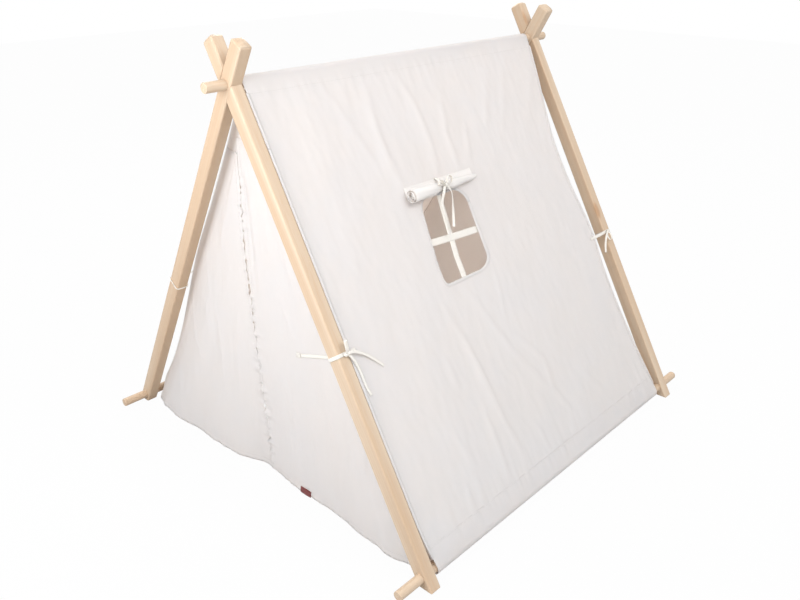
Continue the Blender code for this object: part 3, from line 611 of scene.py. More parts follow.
def corner_raise(side, end, down):
    """The cloth beside the right front pole rides up level with the pole's face."""
    return 0.0016 * ease(down / 0.03) * ease((LEG - 0.06 - down) / 0.05) if (side, end) == (1, -1) else 0.0


print(len(CREASES), "creases on the right slope")

# %% [markdown]
# ## The two slopes
# Each slope is one length of cloth. It starts on the ridge, where the right one laps over the left in a
# seam, comes straight down, goes round the base dowel and back up behind itself to the hem's row of
# stitches: that is the sleeve that holds the dowel. So the section is worked out once, as a line of cloth
# length, and the grid follows it. The window is cut out of the flat cloth before it is hung.

# %% Slope section
OVER_RIDGE = math.radians(90) - LEAN            # turn from the slope's plane up to the top of the ridge
RETURN_POINT = (STITCH_DOWN - LEG, SLOPE_OFF - 0.0022)
RETURN_REACH = math.hypot(*RETURN_POINT)
WRAP = math.radians(450) - (math.atan2(RETURN_POINT[1], RETURN_POINT[0])
                            + math.acos(SLOPE_OFF / RETURN_REACH)) % (2 * math.pi)
RETURN_LENGTH = math.sqrt(RETURN_REACH ** 2 - SLOPE_OFF ** 2)
LAP, SEAM_ALLOWANCE = 0.008, 0.004


def slope_section(side, length):
    """(down, off, straight) at a length of cloth measured from the top of the ridge; negative is the lap."""
    top = SLOPE_OFF * OVER_RIDGE
    if length < top:
        angle = length / SLOPE_OFF - OVER_RIDGE
        raised = SLOPE_OFF - 0.0024 * ease(1 - length / top)
        raised += 0.0012 * ease(1 - (length - 0.002) / (top * 0.7)) if side > 0 else 0.0
        return raised * math.sin(angle), raised * math.cos(angle), False
    if length < top + LEG:
        return length - top, SLOPE_OFF, True
    turned = (length - top - LEG) / SLOPE_OFF
    if turned < WRAP:
        return LEG + SLOPE_OFF * math.sin(turned), SLOPE_OFF * math.cos(turned), False
    rest = (length - top - LEG - WRAP * SLOPE_OFF) / RETURN_LENGTH
    start = (LEG + SLOPE_OFF * math.sin(WRAP), SLOPE_OFF * math.cos(WRAP))
    end = (LEG + RETURN_POINT[0], RETURN_POINT[1])
    return start[0] + (end[0] - start[0]) * rest, start[1] + (end[1] - start[1]) * rest, False


SLOPE_CLOTH = SLOPE_OFF * OVER_RIDGE + LEG + WRAP * SLOPE_OFF + RETURN_LENGTH
print("one slope's cloth is %.0f mm long, sleeve included" % (SLOPE_CLOTH * 1000))


# %% Slope cloths
def make_slope(name, side, cell, nodes):
    """One slope's cloth in squares of about one cell, from its lap on the ridge to its stitched end."""
    start = -LAP if side > 0 else 0.001
    total = SLOPE_CLOTH + SEAM_ALLOWANCE - start
    columns, rows = round(2 * COVER_HALF_FOOT / cell), round(total / cell)

    def place(u, v):
        down, off, straight = slope_section(side, start + total * v)
        inset = 0.002 if down > LEG - 0.05 and off < 0 else 0.0
        front, back = (cover_edge(down, side, end) - inset for end in (-1, 1))
        along = -front + (front + back) * u
        if straight:
            off += slope_relief(side, along, down)
        return slope_point(side, along, down, off)

    bm = cloth_grid(columns, rows, place, lambda u, v: ((u - 0.5) * 2 * COVER_HALF_FOOT, start + total * v))
    if side > 0:
        cut_window(bm)
        bmesh.ops.reverse_faces(bm, faces=bm.faces)
    return finish_piece(name, bm, COTTON, "frame", nodes, COTTON_THICK)


def on_slope(point):
    """A point's place along, down and off the right slope."""
    from_ridge = point - Vector((0, 0, RIDGE_HEIGHT))
    return point.y, -from_ridge.dot(slope_up(1)), from_ridge.dot(slope_out(1))


def cut_window(bm):
    """Removes the cloth inside the window and draws the cut's rim onto the true outline."""
    inside, step = [], 1e-4
    for face in bm.faces:
        along, down, off = on_slope(face.calc_center_median())
        if off > 0 and outside_window(along, down) < 0:
            inside.append(face)
    bmesh.ops.delete(bm, geom=inside, context="FACES")
    for vert in bm.verts:
        along, down, _ = on_slope(vert.co)
        if vert.is_boundary and abs(outside_window(along, down)) < 0.008 and vert.co.x > 0.1:
            for _ in range(3):
                gap = outside_window(along, down)
                tilt_along = (outside_window(along + step, down) - gap) / step
                tilt_down = (outside_window(along, down + step) - gap) / step
                along, down = along - gap * tilt_along, down - gap * tilt_down
            vert.co = slope_point(1, along, down, SLOPE_OFF + slope_relief(1, along, down))


roof_right = make_slope("roof_cloth_right", 1, 0.0054, ("roof_panel_right", "ridge_tunnel", "hem_sleeve_right"))
roof_left = make_slope("roof_cloth_left", -1, 0.0072, ("roof_panel_left", "hem_sleeve_left"))
for cloth, side in ((roof_right, 1), (roof_left, -1)):
    wide = sum(cover_edge(LEG * i / 20, side, end) for i in range(21) for end in (-1, 1)) / 21
    print(cloth.name, len(cloth.data.polygons), "faces")

# %% [markdown]
# ## The gable cloths
# The front gable is two door flaps under a small fixed piece. A flap is one cloth from the corner seam to
# the line where both flaps meet, and it opens by bending along a line beside the pole. It is made as one
# piece, fixed strip and flap together. At the corner the cloth is folded over the slope's edge and sewn
# down, as a felled seam is.

# %% Gable measures
FACING_WIDTH = 0.047            # of the strip that stays fixed beside a front pole
SLOPE_OUT = 0.0156              # outer face of the solids' slope, from the poles' middle
DOOR_TOP = {1: 0.835, -1: 0.800}
FOLD_TOP, FOLD_DEPTH, FOLD_COUNT = 0.55, 0.0018, 4.0
# how far the hems stand forward: (share of the flap from its hinge to its free edge, mm)
HEM_BILLOWS = {
    1: ((0, 8), (0.03, 10.5), (0.076, 14), (0.142, 24), (0.23, 21), (0.32, 17), (0.5, 8), (0.594, 6), (0.68, 9),
        (0.766, 8), (0.872, 3), (1, -3)),
    -1: ((0, 20), (0.045, 25), (0.1, 32), (0.226, 35), (0.339, 28), (0.56, 24), (0.689, 26), (0.773, 21),
         (0.85, 11), (0.917, -2), (1, -9)),
}
SEAM_FOLD = 0.007               # width of the felled seam on the slope


def slope_x(height, off):
    """How far from the middle a slope is at a height."""
    return (RIDGE_HEIGHT - height) * TANGENT + off / COSINE


def outer_x(height):
    """A gable's edge follows the slope, and passes inside the base dowel at the foot."""
    inside = LEG_SPREAD - DOWEL_RADIUS - 0.004
    rise = (height - BASE_DOWEL_HEIGHT - DOWEL_RADIUS - 0.004) / 0.026
    return inside + (slope_x(height, SLOPE_OUT) - inside) * min(max(rise, 0.0), 1.0)


def hinge_x(height):
    """A flap's bending line, beside the fixed strip."""
    return slope_x(height, SLOPE_OUT - FACING_WIDTH)


def gable_plane(height):
    """How far from the tent's middle a flat gable hangs."""
    return COVER_HALF_TOP + (COVER_HALF_FOOT - COVER_HALF_TOP) * (RIDGE_HEIGHT - height) / DROP + 0.0019


def gable_edge(height, side, end):
    """How far from the tent's middle a gable meets a slope's side edge."""
    down = (RIDGE_HEIGHT + SLOPE_OUT * SINE - height) / COSINE
    return cover_edge(down, side, end) + 0.0012


def meeting_x(height):
    """The line where the flaps meet, which swings a little to the left as it rises."""
    share = (height - HEM_HEIGHT) / (DOOR_TOP[1] - HEM_HEIGHT)
    bow = -0.013 * math.sin(math.pi * min(max(share, 0.0), 1.0) ** 1.9)
    return -0.002 - 0.042 * share + bow


def fade(height):
    """1 at the floor and 0 above the folds' top."""
    return max(0.0, 1 - height / FOLD_TOP) ** 1.4


def flap_stands(side, share, height):
    """How far a flap stands forward of the gable's plane; share runs from its hinge to its free edge."""
    folds = FOLD_DEPTH * math.sin(2 * math.pi * FOLD_COUNT * share) * math.sin(math.pi * share) ** 0.5
    billow = along_knots(HEM_BILLOWS[side], share) / 1000
    narrow = min(1.0, (hinge_x(height) - side * meeting_x(height)) / 0.40)
    return billow * fade(height) + folds * (0.35 + 0.65 * fade(height)) * narrow


GABLE_CREASES = {
    1: ((2.0, 9, (70, 658), (138, 512)), (1.6, 8, (71, 509), (129, 375)), (3.0, 12, (5, 754), (-12, 660)),
        (2.0, 10, (60, 330), (110, 180), (120, 40)), (1.8, 9, (210, 380), (250, 200)),
        (1.6, 10, (300, 250), (330, 60)), (1.4, 8, (20, 240), (30, 30))),
    -1: ((2.0, 9, (-301, 380), (-277, 274)), (2.0, 9, (-293, 304), (-231, 218)),
         (2.2, 9, (-178, 405), (-162, 315), (-150, 120)), (1.8, 9, (-212, 539), (-204, 437)),
         (1.8, 8, (-126, 634), (-138, 558)), (1.6, 9, (-90, 400), (-100, 160)),
         (1.8, 10, (-380, 170), (-350, 30)), (1.6, 8, (-60, 300), (-52, 60))),
}
RUFFLE, RUFFLE_LOW, RUFFLE_REACH = 0.0046, 0.0048, 0.011        # height above, added low down, and width
HEM_TURN, HEM_TURN_THICK = 0.0105, 0.0006       # the turned hem along a flap's free edge
SOFT_FOLD, FOLD_REACH = 0.0085, 0.013           # depth and width of the long fold beside the doors' line


def gable_relief(side, x, height):
    """Creases, soft noise, the long fold and the hems' gathers of a front flap, forward of its plane."""
    lift = creased(GABLE_CREASES[side], x, height)
    lift += uneven((x * 15, height * 4, 5.5 * side), (x * 60, height * 25, 2.5 * side))
    hem = math.exp(-max(height - HEM_HEIGHT - 0.012, 0) / 0.03)
    lift += 0.0022 * hem * ripple(x * 45, 4.0 * side, 0)
    free, below_top = side * (x - meeting_x(height)), ease((0.80 - height) / 0.1)
    ruffle = ripple(height * 62, 9.0 * side, 0)
    ruffle += 1.1 * ripple(height * 140, 4.0 * side, 2)
    ruffle *= (RUFFLE + RUFFLE_LOW * ease((0.62 - height) / 0.3)) * math.exp(-abs(free) / RUFFLE_REACH)
    beside_fold = x - 0.018 + 0.075 * height
    fold = SOFT_FOLD * math.exp(-(beside_fold / FOLD_REACH) ** 2) * ease((height - 0.42) / 0.2)
    lift += (ruffle - fold) * below_top + HEM_TURN_THICK * ease((HEM_TURN - free) / 0.003)
    return lift * ease((outer_x(height) - abs(x) - 0.030) / 0.03) * ease((DOOR_TOP[side] - height) / 0.04)


# %% The front flaps
BEND_HALF = 0.009               # half the width over which a flap bends


def flap_place(side, x, height):
    """A point of the front cloth: flat beside the pole, standing forward in soft folds past the hinge."""
    hinge, edge, plane = hinge_x(height), gable_edge(height, side, -1), gable_plane(height)
    drawn = 0.35 * (edge - plane)
    if side * x > hinge:
        share = (side * x - hinge) / max(outer_x(height) - hinge, 1e-4)
        ahead = plane + drawn + flap_stands(side, 0.0, height)
        ahead += (edge - ahead) * share ** 1.3
    else:
        share = (hinge - side * x) / (hinge - side * meeting_x(height))
        ahead = plane + drawn * (1 - ease(share / 0.4)) + flap_stands(side, min(share, 1.0), height)
    return Vector((x, -ahead - gable_relief(side, x, height), height))


FOLD_SHARES = (0.0, 0.5, 0.94, 1.0)             # the seam's columns, from its free edge to the corner
FOLDED = len(FOLD_SHARES)


def corner_fold(side, end, share, height):
    """The felled seam on the slope beside a gable; share runs from its free edge to the corner."""
    width = SEAM_FOLD * min(max((height - 0.052) / 0.03, 0.02), 1.0)
    raised = corner_raise(side, end, (RIDGE_HEIGHT + SLOPE_OUT * SINE - height) / COSINE)
    along = gable_edge(height, side, end) + 1.2 * raised - width * (1 - share)
    x = max(slope_x(height, SLOPE_OUT + 0.0004 + raised), 0) if height > 0.05 else outer_x(height)
    return Vector((side * x, end * along, height))


def flat_of(place):
    """The flat cloth of a gable: each point's own width and height."""
    return lambda u, v: place(u, v).xz


def make_flap(name, side, nodes):
    """One front cloth: its seam on the slope, its fixed strip and its flap, down to the hem."""
    tall, columns = DOOR_TOP[side] - HEM_HEIGHT, 93

    def place(u, v):
        height = HEM_HEIGHT + tall * v
        k = round(u * columns)
        if k < FOLDED:
            return corner_fold(side, -1, FOLD_SHARES[k], height)
        share = (k - FOLDED) / (columns - FOLDED)
        outer, free = side * outer_x(height), meeting_x(height) + side * 0.0003
        return flap_place(side, outer + (free - outer) * share, height)

    bm = cloth_grid(columns, round(tall / 0.0058), place, flat_of(place))
    if side > 0:
        bmesh.ops.reverse_faces(bm, faces=bm.faces)
    piece = finish_piece(name, bm, COTTON, None, nodes, COTTON_THICK)
    across_hinge(piece, side)
    return piece


def across_hinge(piece, side):
    """Bakes a piece's place into its mesh."""
    way = slope_out(side) * -BEND_HALF
    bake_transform(piece)


flap_right = make_flap("door_cloth_right", 1, ("door_flap_right", "front_facing_right"))
flap_left = make_flap("door_cloth_left", -1, ("door_flap_left", "front_facing_left"))
for cloth, side in ((flap_right, 1), (flap_left, -1)):
    print(cloth.name, len(cloth.data.polygons), "faces")

# %% [markdown]
# ## The fixed top of the front gable, and the closed rear gable
# Above the doors a small piece stays fixed; it reaches down a little behind the flaps, so that no slit
# opens there. The rear gable is one closed cloth, sewn to both slopes, with the same soft folds low down.

# %% Fixed top and rear gable
YOKE_COLUMNS, REAR_COLUMNS = 56, 172


def yoke_place(u, v):
    """The fixed top of the front gable; its middle columns hang between two seams on the slopes."""
    k = round(u * YOKE_COLUMNS)
    x_share = min(max(2 * (k - FOLDED) / (YOKE_COLUMNS - 2 * FOLDED) - 1, -1.0), 1.0)
    low = DOOR_TOP[-1] - 0.012 + (DOOR_TOP[1] - DOOR_TOP[-1]) * ease((x_share + 0.55) / 0.3)
    height = low + (GABLE_TOP - low) * v
    side = 1 if x_share > 0 else -1
    if k < FOLDED or k > YOKE_COLUMNS - FOLDED:
        height = max(height, DOOR_TOP[side] - 0.001)
        return corner_fold(side, -1, FOLD_SHARES[min(k, YOKE_COLUMNS - k)], height)
    plane, edge = gable_plane(height), gable_edge(height, side, -1)
    near = ease((abs(x_share) - 0.25) / 0.75)
    behind = 0.0013 * ease(1 - (height - low - 0.010) / 0.012)
    rise = 0.0008 * noise.fractal(Vector((x_share * 3, height * 20, 7.7)), 1.0, 2.0, 3)
    rise *= ease((1 - abs(x_share)) / 0.1)
    return Vector((x_share * outer_x(height), behind - rise - plane - (edge - plane) * near, height))


yoke_bm = cloth_grid(YOKE_COLUMNS, 32, yoke_place, lambda u, v: ((u - 0.5) * 0.19, v * 0.15))
yoke = finish_piece("front_gable_top", yoke_bm, COTTON, "frame", ("front_facing_right", "front_facing_left"),
                    COTTON_THICK)


def rear_place(u, v):
    """The closed rear gable, from its seam on the left slope to its seam on the right one."""
    height = HEM_HEIGHT + (GABLE_TOP - HEM_HEIGHT) * v
    k = round(u * REAR_COLUMNS)
    if k < FOLDED:
        return corner_fold(-1, 1, FOLD_SHARES[k], height)
    if k > REAR_COLUMNS - FOLDED:
        return corner_fold(1, 1, FOLD_SHARES[REAR_COLUMNS - k], height)
    t = 2 * (k - FOLDED) / (REAR_COLUMNS - 2 * FOLDED) - 1
    left, right = gable_edge(height, -1, 1), gable_edge(height, 1, 1)
    level = left + (right - left) * (t + 1) / 2 + (0.008 + 0.014 * fade(height)) * (1 - t ** 4)
    folds = 0.004 * math.sin(5 * math.pi * t) * (1 - t * t) * (0.3 + 0.7 * fade(height))
    x = t * outer_x(height)
    soft = uneven((x * 12, height * 4, 31.0), (x * 55, height * 25, 33.0))
    soft += 0.0020 * math.exp(-(height - HEM_HEIGHT) / 0.04) * ripple(x * 45, 8.0, 0)
    return Vector((x, level + folds + soft * ease((1 - abs(t)) / 0.08), height))


rear = finish_piece("rear_gable_cloth", cloth_grid(REAR_COLUMNS, 150, rear_place, flat_of(rear_place)),
                    COTTON, "frame", ("rear_gable",), COTTON_THICK)
print(rear.name, len(rear.data.polygons), "faces")

# %% [markdown]
# ## The window
# The cut edge of the window is bound with a folded tape, and two wider tapes cross behind the opening like
# glazing bars. The binding is a strip swept round the rim: its section starts on the outer face, turns over
# the edge and ends behind the cloth.

# %% Window binding and its crossed tapes
BAR_WIDTH, BINDING_WIDTH, BINDING_LENGTH, TAPE_THICK = 0.017, 0.017, 0.70, 0.0006
BINDING_SECTION = ((6.4, 0.65), (5.2, 1.05), (3.2, 1.15), (1.2, 1.10), (-0.6, 0.70), (-1.1, -0.05),
                   (-0.4, -0.80), (2.0, -0.95), (6.0, -0.90))      # mm out from the rim, and off the cloth


def rim_point(share, out):
    """A place (along, down) on the slope at a share of the way round the window, out from its rim."""
    walk = share * (2 * (WINDOW_WIDE + WINDOW_LONG) - (2 - math.pi / 2) * sum(WINDOW_ROUNDS))
    for count in range(4):
        half, beyond = ((WINDOW_WIDE / 2, WINDOW_LONG / 2), (WINDOW_LONG / 2, WINDOW_WIDE / 2))[count % 2]
        before, radius = WINDOW_ROUNDS[count - 1], WINDOW_ROUNDS[count]
        straight, quarter, angle = 2 * beyond - before - radius, math.pi / 2 * radius, count * math.pi / 2
        outward = Vector((math.cos(angle), math.sin(angle)))
        heading = Vector((-math.sin(angle), math.cos(angle)))
        if walk <= straight:
            return in_window(*(outward * (half + out) + heading * (walk - beyond + before)))
        walk -= straight
        if walk <= quarter or count == 3:
            bend = angle + min(walk, quarter) / radius
            turned = Vector((math.cos(bend), math.sin(bend))) * (radius + out)
            return in_window(*(outward * (half - radius) + heading * (beyond - radius) + turned))
        walk -= quarter


def on_cloth(along, down, off):
    """A point off the right slope's cloth, wrinkles followed."""
    return slope_point(1, along, down, SLOPE_OFF + off + slope_relief(1, along, down))


def binding_place(u, v):
    out, off = BINDING_SECTION[round(v * (len(BINDING_SECTION) - 1))]
    along, down = rim_point(u, out / 1000)
    soft = 0.0003 * ripple(u * 90, out * 0.2, 3)
    return on_cloth(along, down, off / 1000 + (soft if off > 0 else 0))


binding_bm = cloth_grid(168, len(BINDING_SECTION) - 1, binding_place,
                        lambda u, v: (v * BINDING_WIDTH, u * BINDING_LENGTH))
bmesh.ops.remove_doubles(binding_bm, verts=binding_bm.verts, dist=1e-6)
binding = finish_piece("window_binding_tape", binding_bm, COTTON, "frame", ("window_binding",), 0.0005)


def bar_tape(name, length, off, upright, nodes):
    """A tape stretched behind the window; its ends keep to the wrinkled cloth that they are sewn to."""
    def placed(a, b):
        return in_window(a, b) if upright else in_window(b, a)

    ends = [slope_relief(1, *placed(0, end * (length / 2 - 0.011))) for end in (-1, 1)]

    def place(u, v):
        a, b = (u - 0.5) * BAR_WIDTH, (v - 0.5) * length
        along, down = placed(a, b)
        soft = 0.0004 * ripple(a * 60, b * 14, 21.0 + upright) * (1 - (2 * v - 1) ** 4)
        return slope_point(1, along, down, SLOPE_OFF + off + ends[0] * (1 - v) + ends[1] * v + soft)

    bm = cloth_grid(5, round(length / 0.006), place, lambda u, v: (u * BAR_WIDTH, v * length))
    piece = finish_piece(name, bm, TAPE, "frame", nodes, TAPE_THICK)


bar_tape("window_bar_upright", WINDOW_LONG + 0.022, -0.0017, True, ("muntin_upright",))
bar_tape("window_bar_cross", WINDOW_WIDE + 0.022, -0.0030, False, ("muntin_cross",))

# %% [markdown]
# ## The rolled blind
# A cloth is sewn above the window and rolled up towards it from below. Its section is a spiral, so the
# flat cloth is wound by a function: the angle grows with the length of cloth and the radius shrinks. The tie
# squeezes the roll at its bow, where the cloth gathers in small folds, and the roll is thinner to the rear.

# %% Blind
BLIND_MIDDLE, BLIND_LENGTH = -0.068, 0.246
BLIND_SEAM, BLIND_AXIS = 0.302, 0.325
BLIND_RADIUS, BLIND_CORE, BLIND_TURNS = 0.0168, 0.0055, 2.6
BLIND_WAIST, WAIST_HALF = 0.40, 0.028
BLIND_OFF_SLOPE, BOW_PLACE, BLIND_LEAD = 0.0016, -0.080, 0.12


def squeeze_at(along):
    """How far the roll is drawn in: by its tie, and by its looser winding towards the rear."""
    waist = 1 - BLIND_WAIST * math.exp(-((along - BOW_PLACE) / WAIST_HALF) ** 2)
    looser = 1 - 0.50 * ease((along - BOW_PLACE - 0.004) / 0.09)
    return waist * looser * (1 - 0.35 * ease((along - 0.015) / 0.04))


def blind_section(share, squeeze, along):
    """A point of the roll's section: distance down the slope, and height off the slope's face."""
    if share < BLIND_LEAD:
        return BLIND_SEAM + (BLIND_AXIS - BLIND_SEAM) * share / BLIND_LEAD, BLIND_OFF_SLOPE
    turned = (share - BLIND_LEAD) / (1 - BLIND_LEAD)
    radius = BLIND_RADIUS + (BLIND_CORE - BLIND_RADIUS) * turned
    angle = 2 * math.pi * BLIND_TURNS * turned
    around = Vector((along * 22, math.cos(angle) * 0.9, math.sin(angle) * 0.9))
    near = math.exp(-abs(along - BOW_PLACE) / 0.035)
    lumps = 0.0018 * noise.noise(around) + 0.0011 * near * math.cos(9 * angle + 60 * along)
    lumps *= ease(turned * 8)
    down = BLIND_AXIS + squeeze * (radius + lumps) * math.sin(angle)
    return down, BLIND_OFF_SLOPE + squeeze * (BLIND_RADIUS - (radius + lumps) * math.cos(angle))


def blind_place(u, v):
    """A point of the rolled cloth; its ends are a little uneven, and its inner turns stand out in front."""
    slant = 0.004 * ripple(v * 7, 2.0, 5.0) * ease(v * 3)
    along = BLIND_MIDDLE + (BLIND_LENGTH - 0.006) * (u - 0.5) + slant * (2 * u - 1)
    along -= 0.007 * v * (1 - u) ** 8
    down, off = blind_section(v, squeeze_at(along), along)
    return slope_point(1, along, down, SLOPE_OUT + off)


blind_cloth = 0.034 + math.pi * BLIND_TURNS * (BLIND_RADIUS + BLIND_CORE)
blind_bm = cloth_grid(76, 150, blind_place, lambda u, v: (u * BLIND_LENGTH, v * blind_cloth))
blind = finish_piece("blind_cloth", blind_bm, BLIND_COTTON_PAINTED_LIGHTER, "window_blind", ("window_blind_roll",), 0.0009)
print("the blind is rolled from %.0f mm of cloth" % (blind_cloth * 1000))

# %% [markdown]
# ## Helpers for tapes and knots
# A tape is a narrow cloth that follows a line, and a knot is a round cord that follows a closed curve: the
# trefoil, which is what a single overhand knot becomes when its ends are joined.

# %% Tape and knot helpers
TAIL_WIDTH, LOOP_WIDTH, TAPE_WIDTH = 0.0064, 0.0062, 0.008
KNOT_SIZE, KNOT_CORD = 0.011, 0.21              # a tape knot's size, and its cord as a share of it


def ribbon(name, line, across, width, body, nodes, curl=0.05):
    """A tape along a line; across(t) gives its width direction, and curl hollows it."""
    count, length = len(line) - 1, line_length(line)

    def place(u, v):
        i = round(v * count)
        ahead = (line[min(i + 1, count)] - line[max(i - 1, 0)]).normalized()
        way = across(v)
        way = (way - ahead * way.dot(ahead)).normalized()
        return line[i] + way * (u - 0.5) * width + way.cross(ahead) * curl * width * (1 - (2 * u - 1) ** 2)

    return finish_piece(name, cloth_grid(4, count, place, lambda u, v: (u * width, v * length)),
                        TAPE, body, nodes, TAPE_THICK)


def tube(line, radius, sides=8):
    """A round cord along a line, its ends closed."""
    count, frames, up = len(line) - 1, [], Vector((0.3, 0.5, 0.81))
    for i in range(count + 1):
        ahead = (line[min(i + 1, count)] - line[max(i - 1, 0)]).normalized()
        up = (up - ahead * up.dot(ahead)).normalized()
        frames.append((up, ahead.cross(up)))

    def place(u, v):
        i = round(v * count)
        a, b = frames[i]
        return line[i] + (a * math.cos(2 * math.pi * u) + b * math.sin(2 * math.pi * u)) * radius

    bm = cloth_grid(sides, count, place, lambda u, v: (u * 6.28 * radius, v * line_length(line)))
    bmesh.ops.remove_doubles(bm, verts=bm.verts, dist=1e-7)
    bmesh.ops.holes_fill(bm, edges=[e for e in bm.edges if e.is_boundary], sides=0)
    bmesh.ops.recalc_face_normals(bm, faces=bm.faces)
    return bm


def knot(name, centre, size, up, body, nodes):
    """A small overhand knot: a trefoil that lies along the ridge and up, and stands out from both."""
    out, line = ALONG.cross(up), []
    for i in range(73):
        t = 2 * math.pi * i / 72
        reach = (2 + math.cos(3 * t)) / 6 * (1 - 1.6 * KNOT_CORD) * size
        line.append(centre + ALONG * reach * math.cos(2 * t) + up * reach * 0.8 * math.sin(2 * t)
                    + out * 0.2 * size * math.sin(3 * t))
    return finish_piece(name, tube(line, KNOT_CORD * size * 0.9, 10), TAPE, body, nodes)


def tail_cord(piece, line, width):
    """Prints how long a tape is."""
    print(piece.name, "is %.0f mm long" % (line_length(line) * 1000))
    tuple(line[0])
    line_length(line)
    [tuple(p) for p in line]


# %% [markdown]
# ## The blind's bow
# One narrow tape goes round the roll and is tied in a bow in front of it. Its band is a closed loop in the
# roll's section, its loops go out and come back to the knot, and its two tails hang down over the window.

# %% Bow of the blind
squeezed = (1 - BLIND_WAIST) * BLIND_RADIUS
back = BLIND_OFF_SLOPE + squeezed


def band_line():
    """The tape's line round the roll: round it, then straight up behind it and over to the front."""
    radius = squeezed + 0.0016
    loop = []
    for i in range(31):
        angle = math.radians(-90 + 225 * i / 30)
        loop.append((BLIND_AXIS + radius * math.cos(angle), back + radius * math.sin(angle)))
    loop += [(BLIND_SEAM + 0.004, BLIND_OFF_SLOPE + 0.0068), (BLIND_SEAM - 0.0010, BLIND_OFF_SLOPE + 0.0022),
             (BLIND_SEAM - 0.0020, BLIND_OFF_SLOPE - 0.0004), (BLIND_SEAM + 0.002, BLIND_OFF_SLOPE - 0.0014)]
    loop.append(loop[0])
    return [slope_point(1, BOW_PLACE, down, SLOPE_OUT + off) for down, off in loop]


band = ribbon("blind_tape_band", band_line(), lambda t: ALONG, 0.0075, "window_blind", ("blind_tie_band",), 0.0)
bow_off = back + squeezed + 0.0016 + 0.0006 + KNOT_SIZE * 0.35
bow_middle = slope_point(1, BOW_PLACE, BLIND_AXIS, SLOPE_OUT + bow_off)
bow_knot = knot("blind_tape_knot", bow_middle, KNOT_SIZE, slope_up(1), "window_blind", ("blind_tie_knot",))


def bow_line(steps, way, start, raise_up, count):
    """A line from the bow's knot; each step is (along, down, off), and way is -1 to the front."""
    return smooth_line([slope_point(1, BOW_PLACE + way * (start + a), BLIND_AXIS + d - raise_up,
                                    SLOPE_OUT + bow_off + o) for a, d, o in steps], count)


for word, way, steps in (
        ("left", -1, [(0, 0, 0), (0.008, -0.008, 0.003), (0.017, -0.011, 0.004), (0.023, -0.004, 0.004),
                      (0.015, 0.002, 0.003), (0.001, 0.002, 0.001)]),
        ("right", 1, [(0, 0, 0), (0.005, -0.011, 0.003), (0.012, -0.016, 0.004), (0.020, -0.010, 0.004),
                      (0.014, 0.001, 0.003), (0.001, 0.002, 0.001)])):
    line = bow_line(steps, way, 0.003, 0.002, 30)
    ribbon("blind_tape_loop_" + word, line, lambda t: slope_out(1), LOOP_WIDTH, "window_blind",
                        ("blind_tie_loop_" + word,))
for word, way, steps, twist in (
        ("left", -1, [(0, 0, 0), (0.012, 0.017, -0.001), (0.019, 0.040, -0.012), (0.018, 0.076, -0.018),
                      (0.024, 0.112, -0.019)], 0.6),
        ("right", 1, [(0, 0, 0), (0.007, 0.020, -0.001), (0.011, 0.042, -0.012), (0.003, 0.072, -0.018),
                      (-0.009, 0.098, -0.019)], -0.5)):
    line = bow_line(steps, way, 0.0035, 0, 44)
    tail = ribbon("blind_tape_tail_" + word, line,
                  lambda t: ALONG + slope_out(1) * twist * math.sin(5 * t), TAIL_WIDTH,
                  "window_blind", ("blind_tie_tail_" + word,))
    tail_cord(tail, line, TAIL_WIDTH)

# %% [markdown]
# ## The ties at the poles
# Halfway down each corner a tape is sewn to the slope, wound round the pole and knotted, which keeps the
# cover from sliding. The two ties of the right slope are flat tape with hanging ends; the left ones are thin
# cord. Each is built in its pole's own space: off the poles' middle, along the ridge, and up the pole.

# %% Bands and sewn ends
def pole_ring(side, end, grow, slant):
    """A closed line round a pole at its tie, a little higher on one side."""
    line, box, radius = [], (POLE_WIDTH / 2 + grow, POLE_DEPTH / 2 + grow), POLE_EDGE + grow
    for i in range(65):
        angle = 2 * math.pi * i / 64
        c, s = math.cos(angle), math.sin(angle)
        # a ray from the middle meets a box with round corners
        reach = min(box[0] / max(abs(c), 1e-9), box[1] / max(abs(s), 1e-9))
        x, y = c * reach, s * reach
        cx, cy = max(abs(x) - box[0] + radius, 0), max(abs(y) - box[1] + radius, 0)
        over = math.hypot(cx, cy)
        if over > radius:
            x -= math.copysign(cx * (1 - radius / over), x)
            y -= math.copysign(cy * (1 - radius / over), y)
        line.append(slope_point(side, end * POLE_PLANE + y, TIE_DOWN[side, end] - slant * c, x))
    return line


for (side, end), word in CORNERS.items():
    edge, down = cover_edge(TIE_DOWN[side, end], side, end), TIE_DOWN[side, end]
    sewn = [slope_point(side, end * y, down + rise, SLOPE_OUT + off) for y, off, rise in
            ((edge - 0.018, 0.0008, 0.0), (edge - 0.009, 0.0009, 0.0), (edge, 0.0010, 0.0),
             ((edge + 0.5) / 2, 0.0018, 0.0), (0.5, 0.0030, -0.0005), (0.5050, 0.0036, -0.001))]
    names = (("tie_round_pole_" + word, ("tie_band_" + word,)), ("tie_sewn_end_" + word, ("tie_link_" + word,)))
    if side > 0:
        for line, (name, cad) in zip((pole_ring(side, end, 0.0009, 0.0016), smooth_line(sewn, 30)), names):
            ribbon(name, line, lambda t: slope_up(side), TAPE_WIDTH, "frame", cad, 0.0)
    else:
        for line, (name, cad) in zip((pole_ring(side, end, 0.0016, 0.003), smooth_line(sewn, 24)), names):
            finish_piece(name, tube(line, 0.0014), TAPE, "frame", cad)


# %% Knots, loops and tails
BAND_OUT = POLE_WIDTH / 2 + 0.0014
CORD_END = {"tail": ("cord", 0.0025, [(0, 0, 0.001), (0.004, 0.002, 0.008), (0.007, 0.001, 0.016)])}
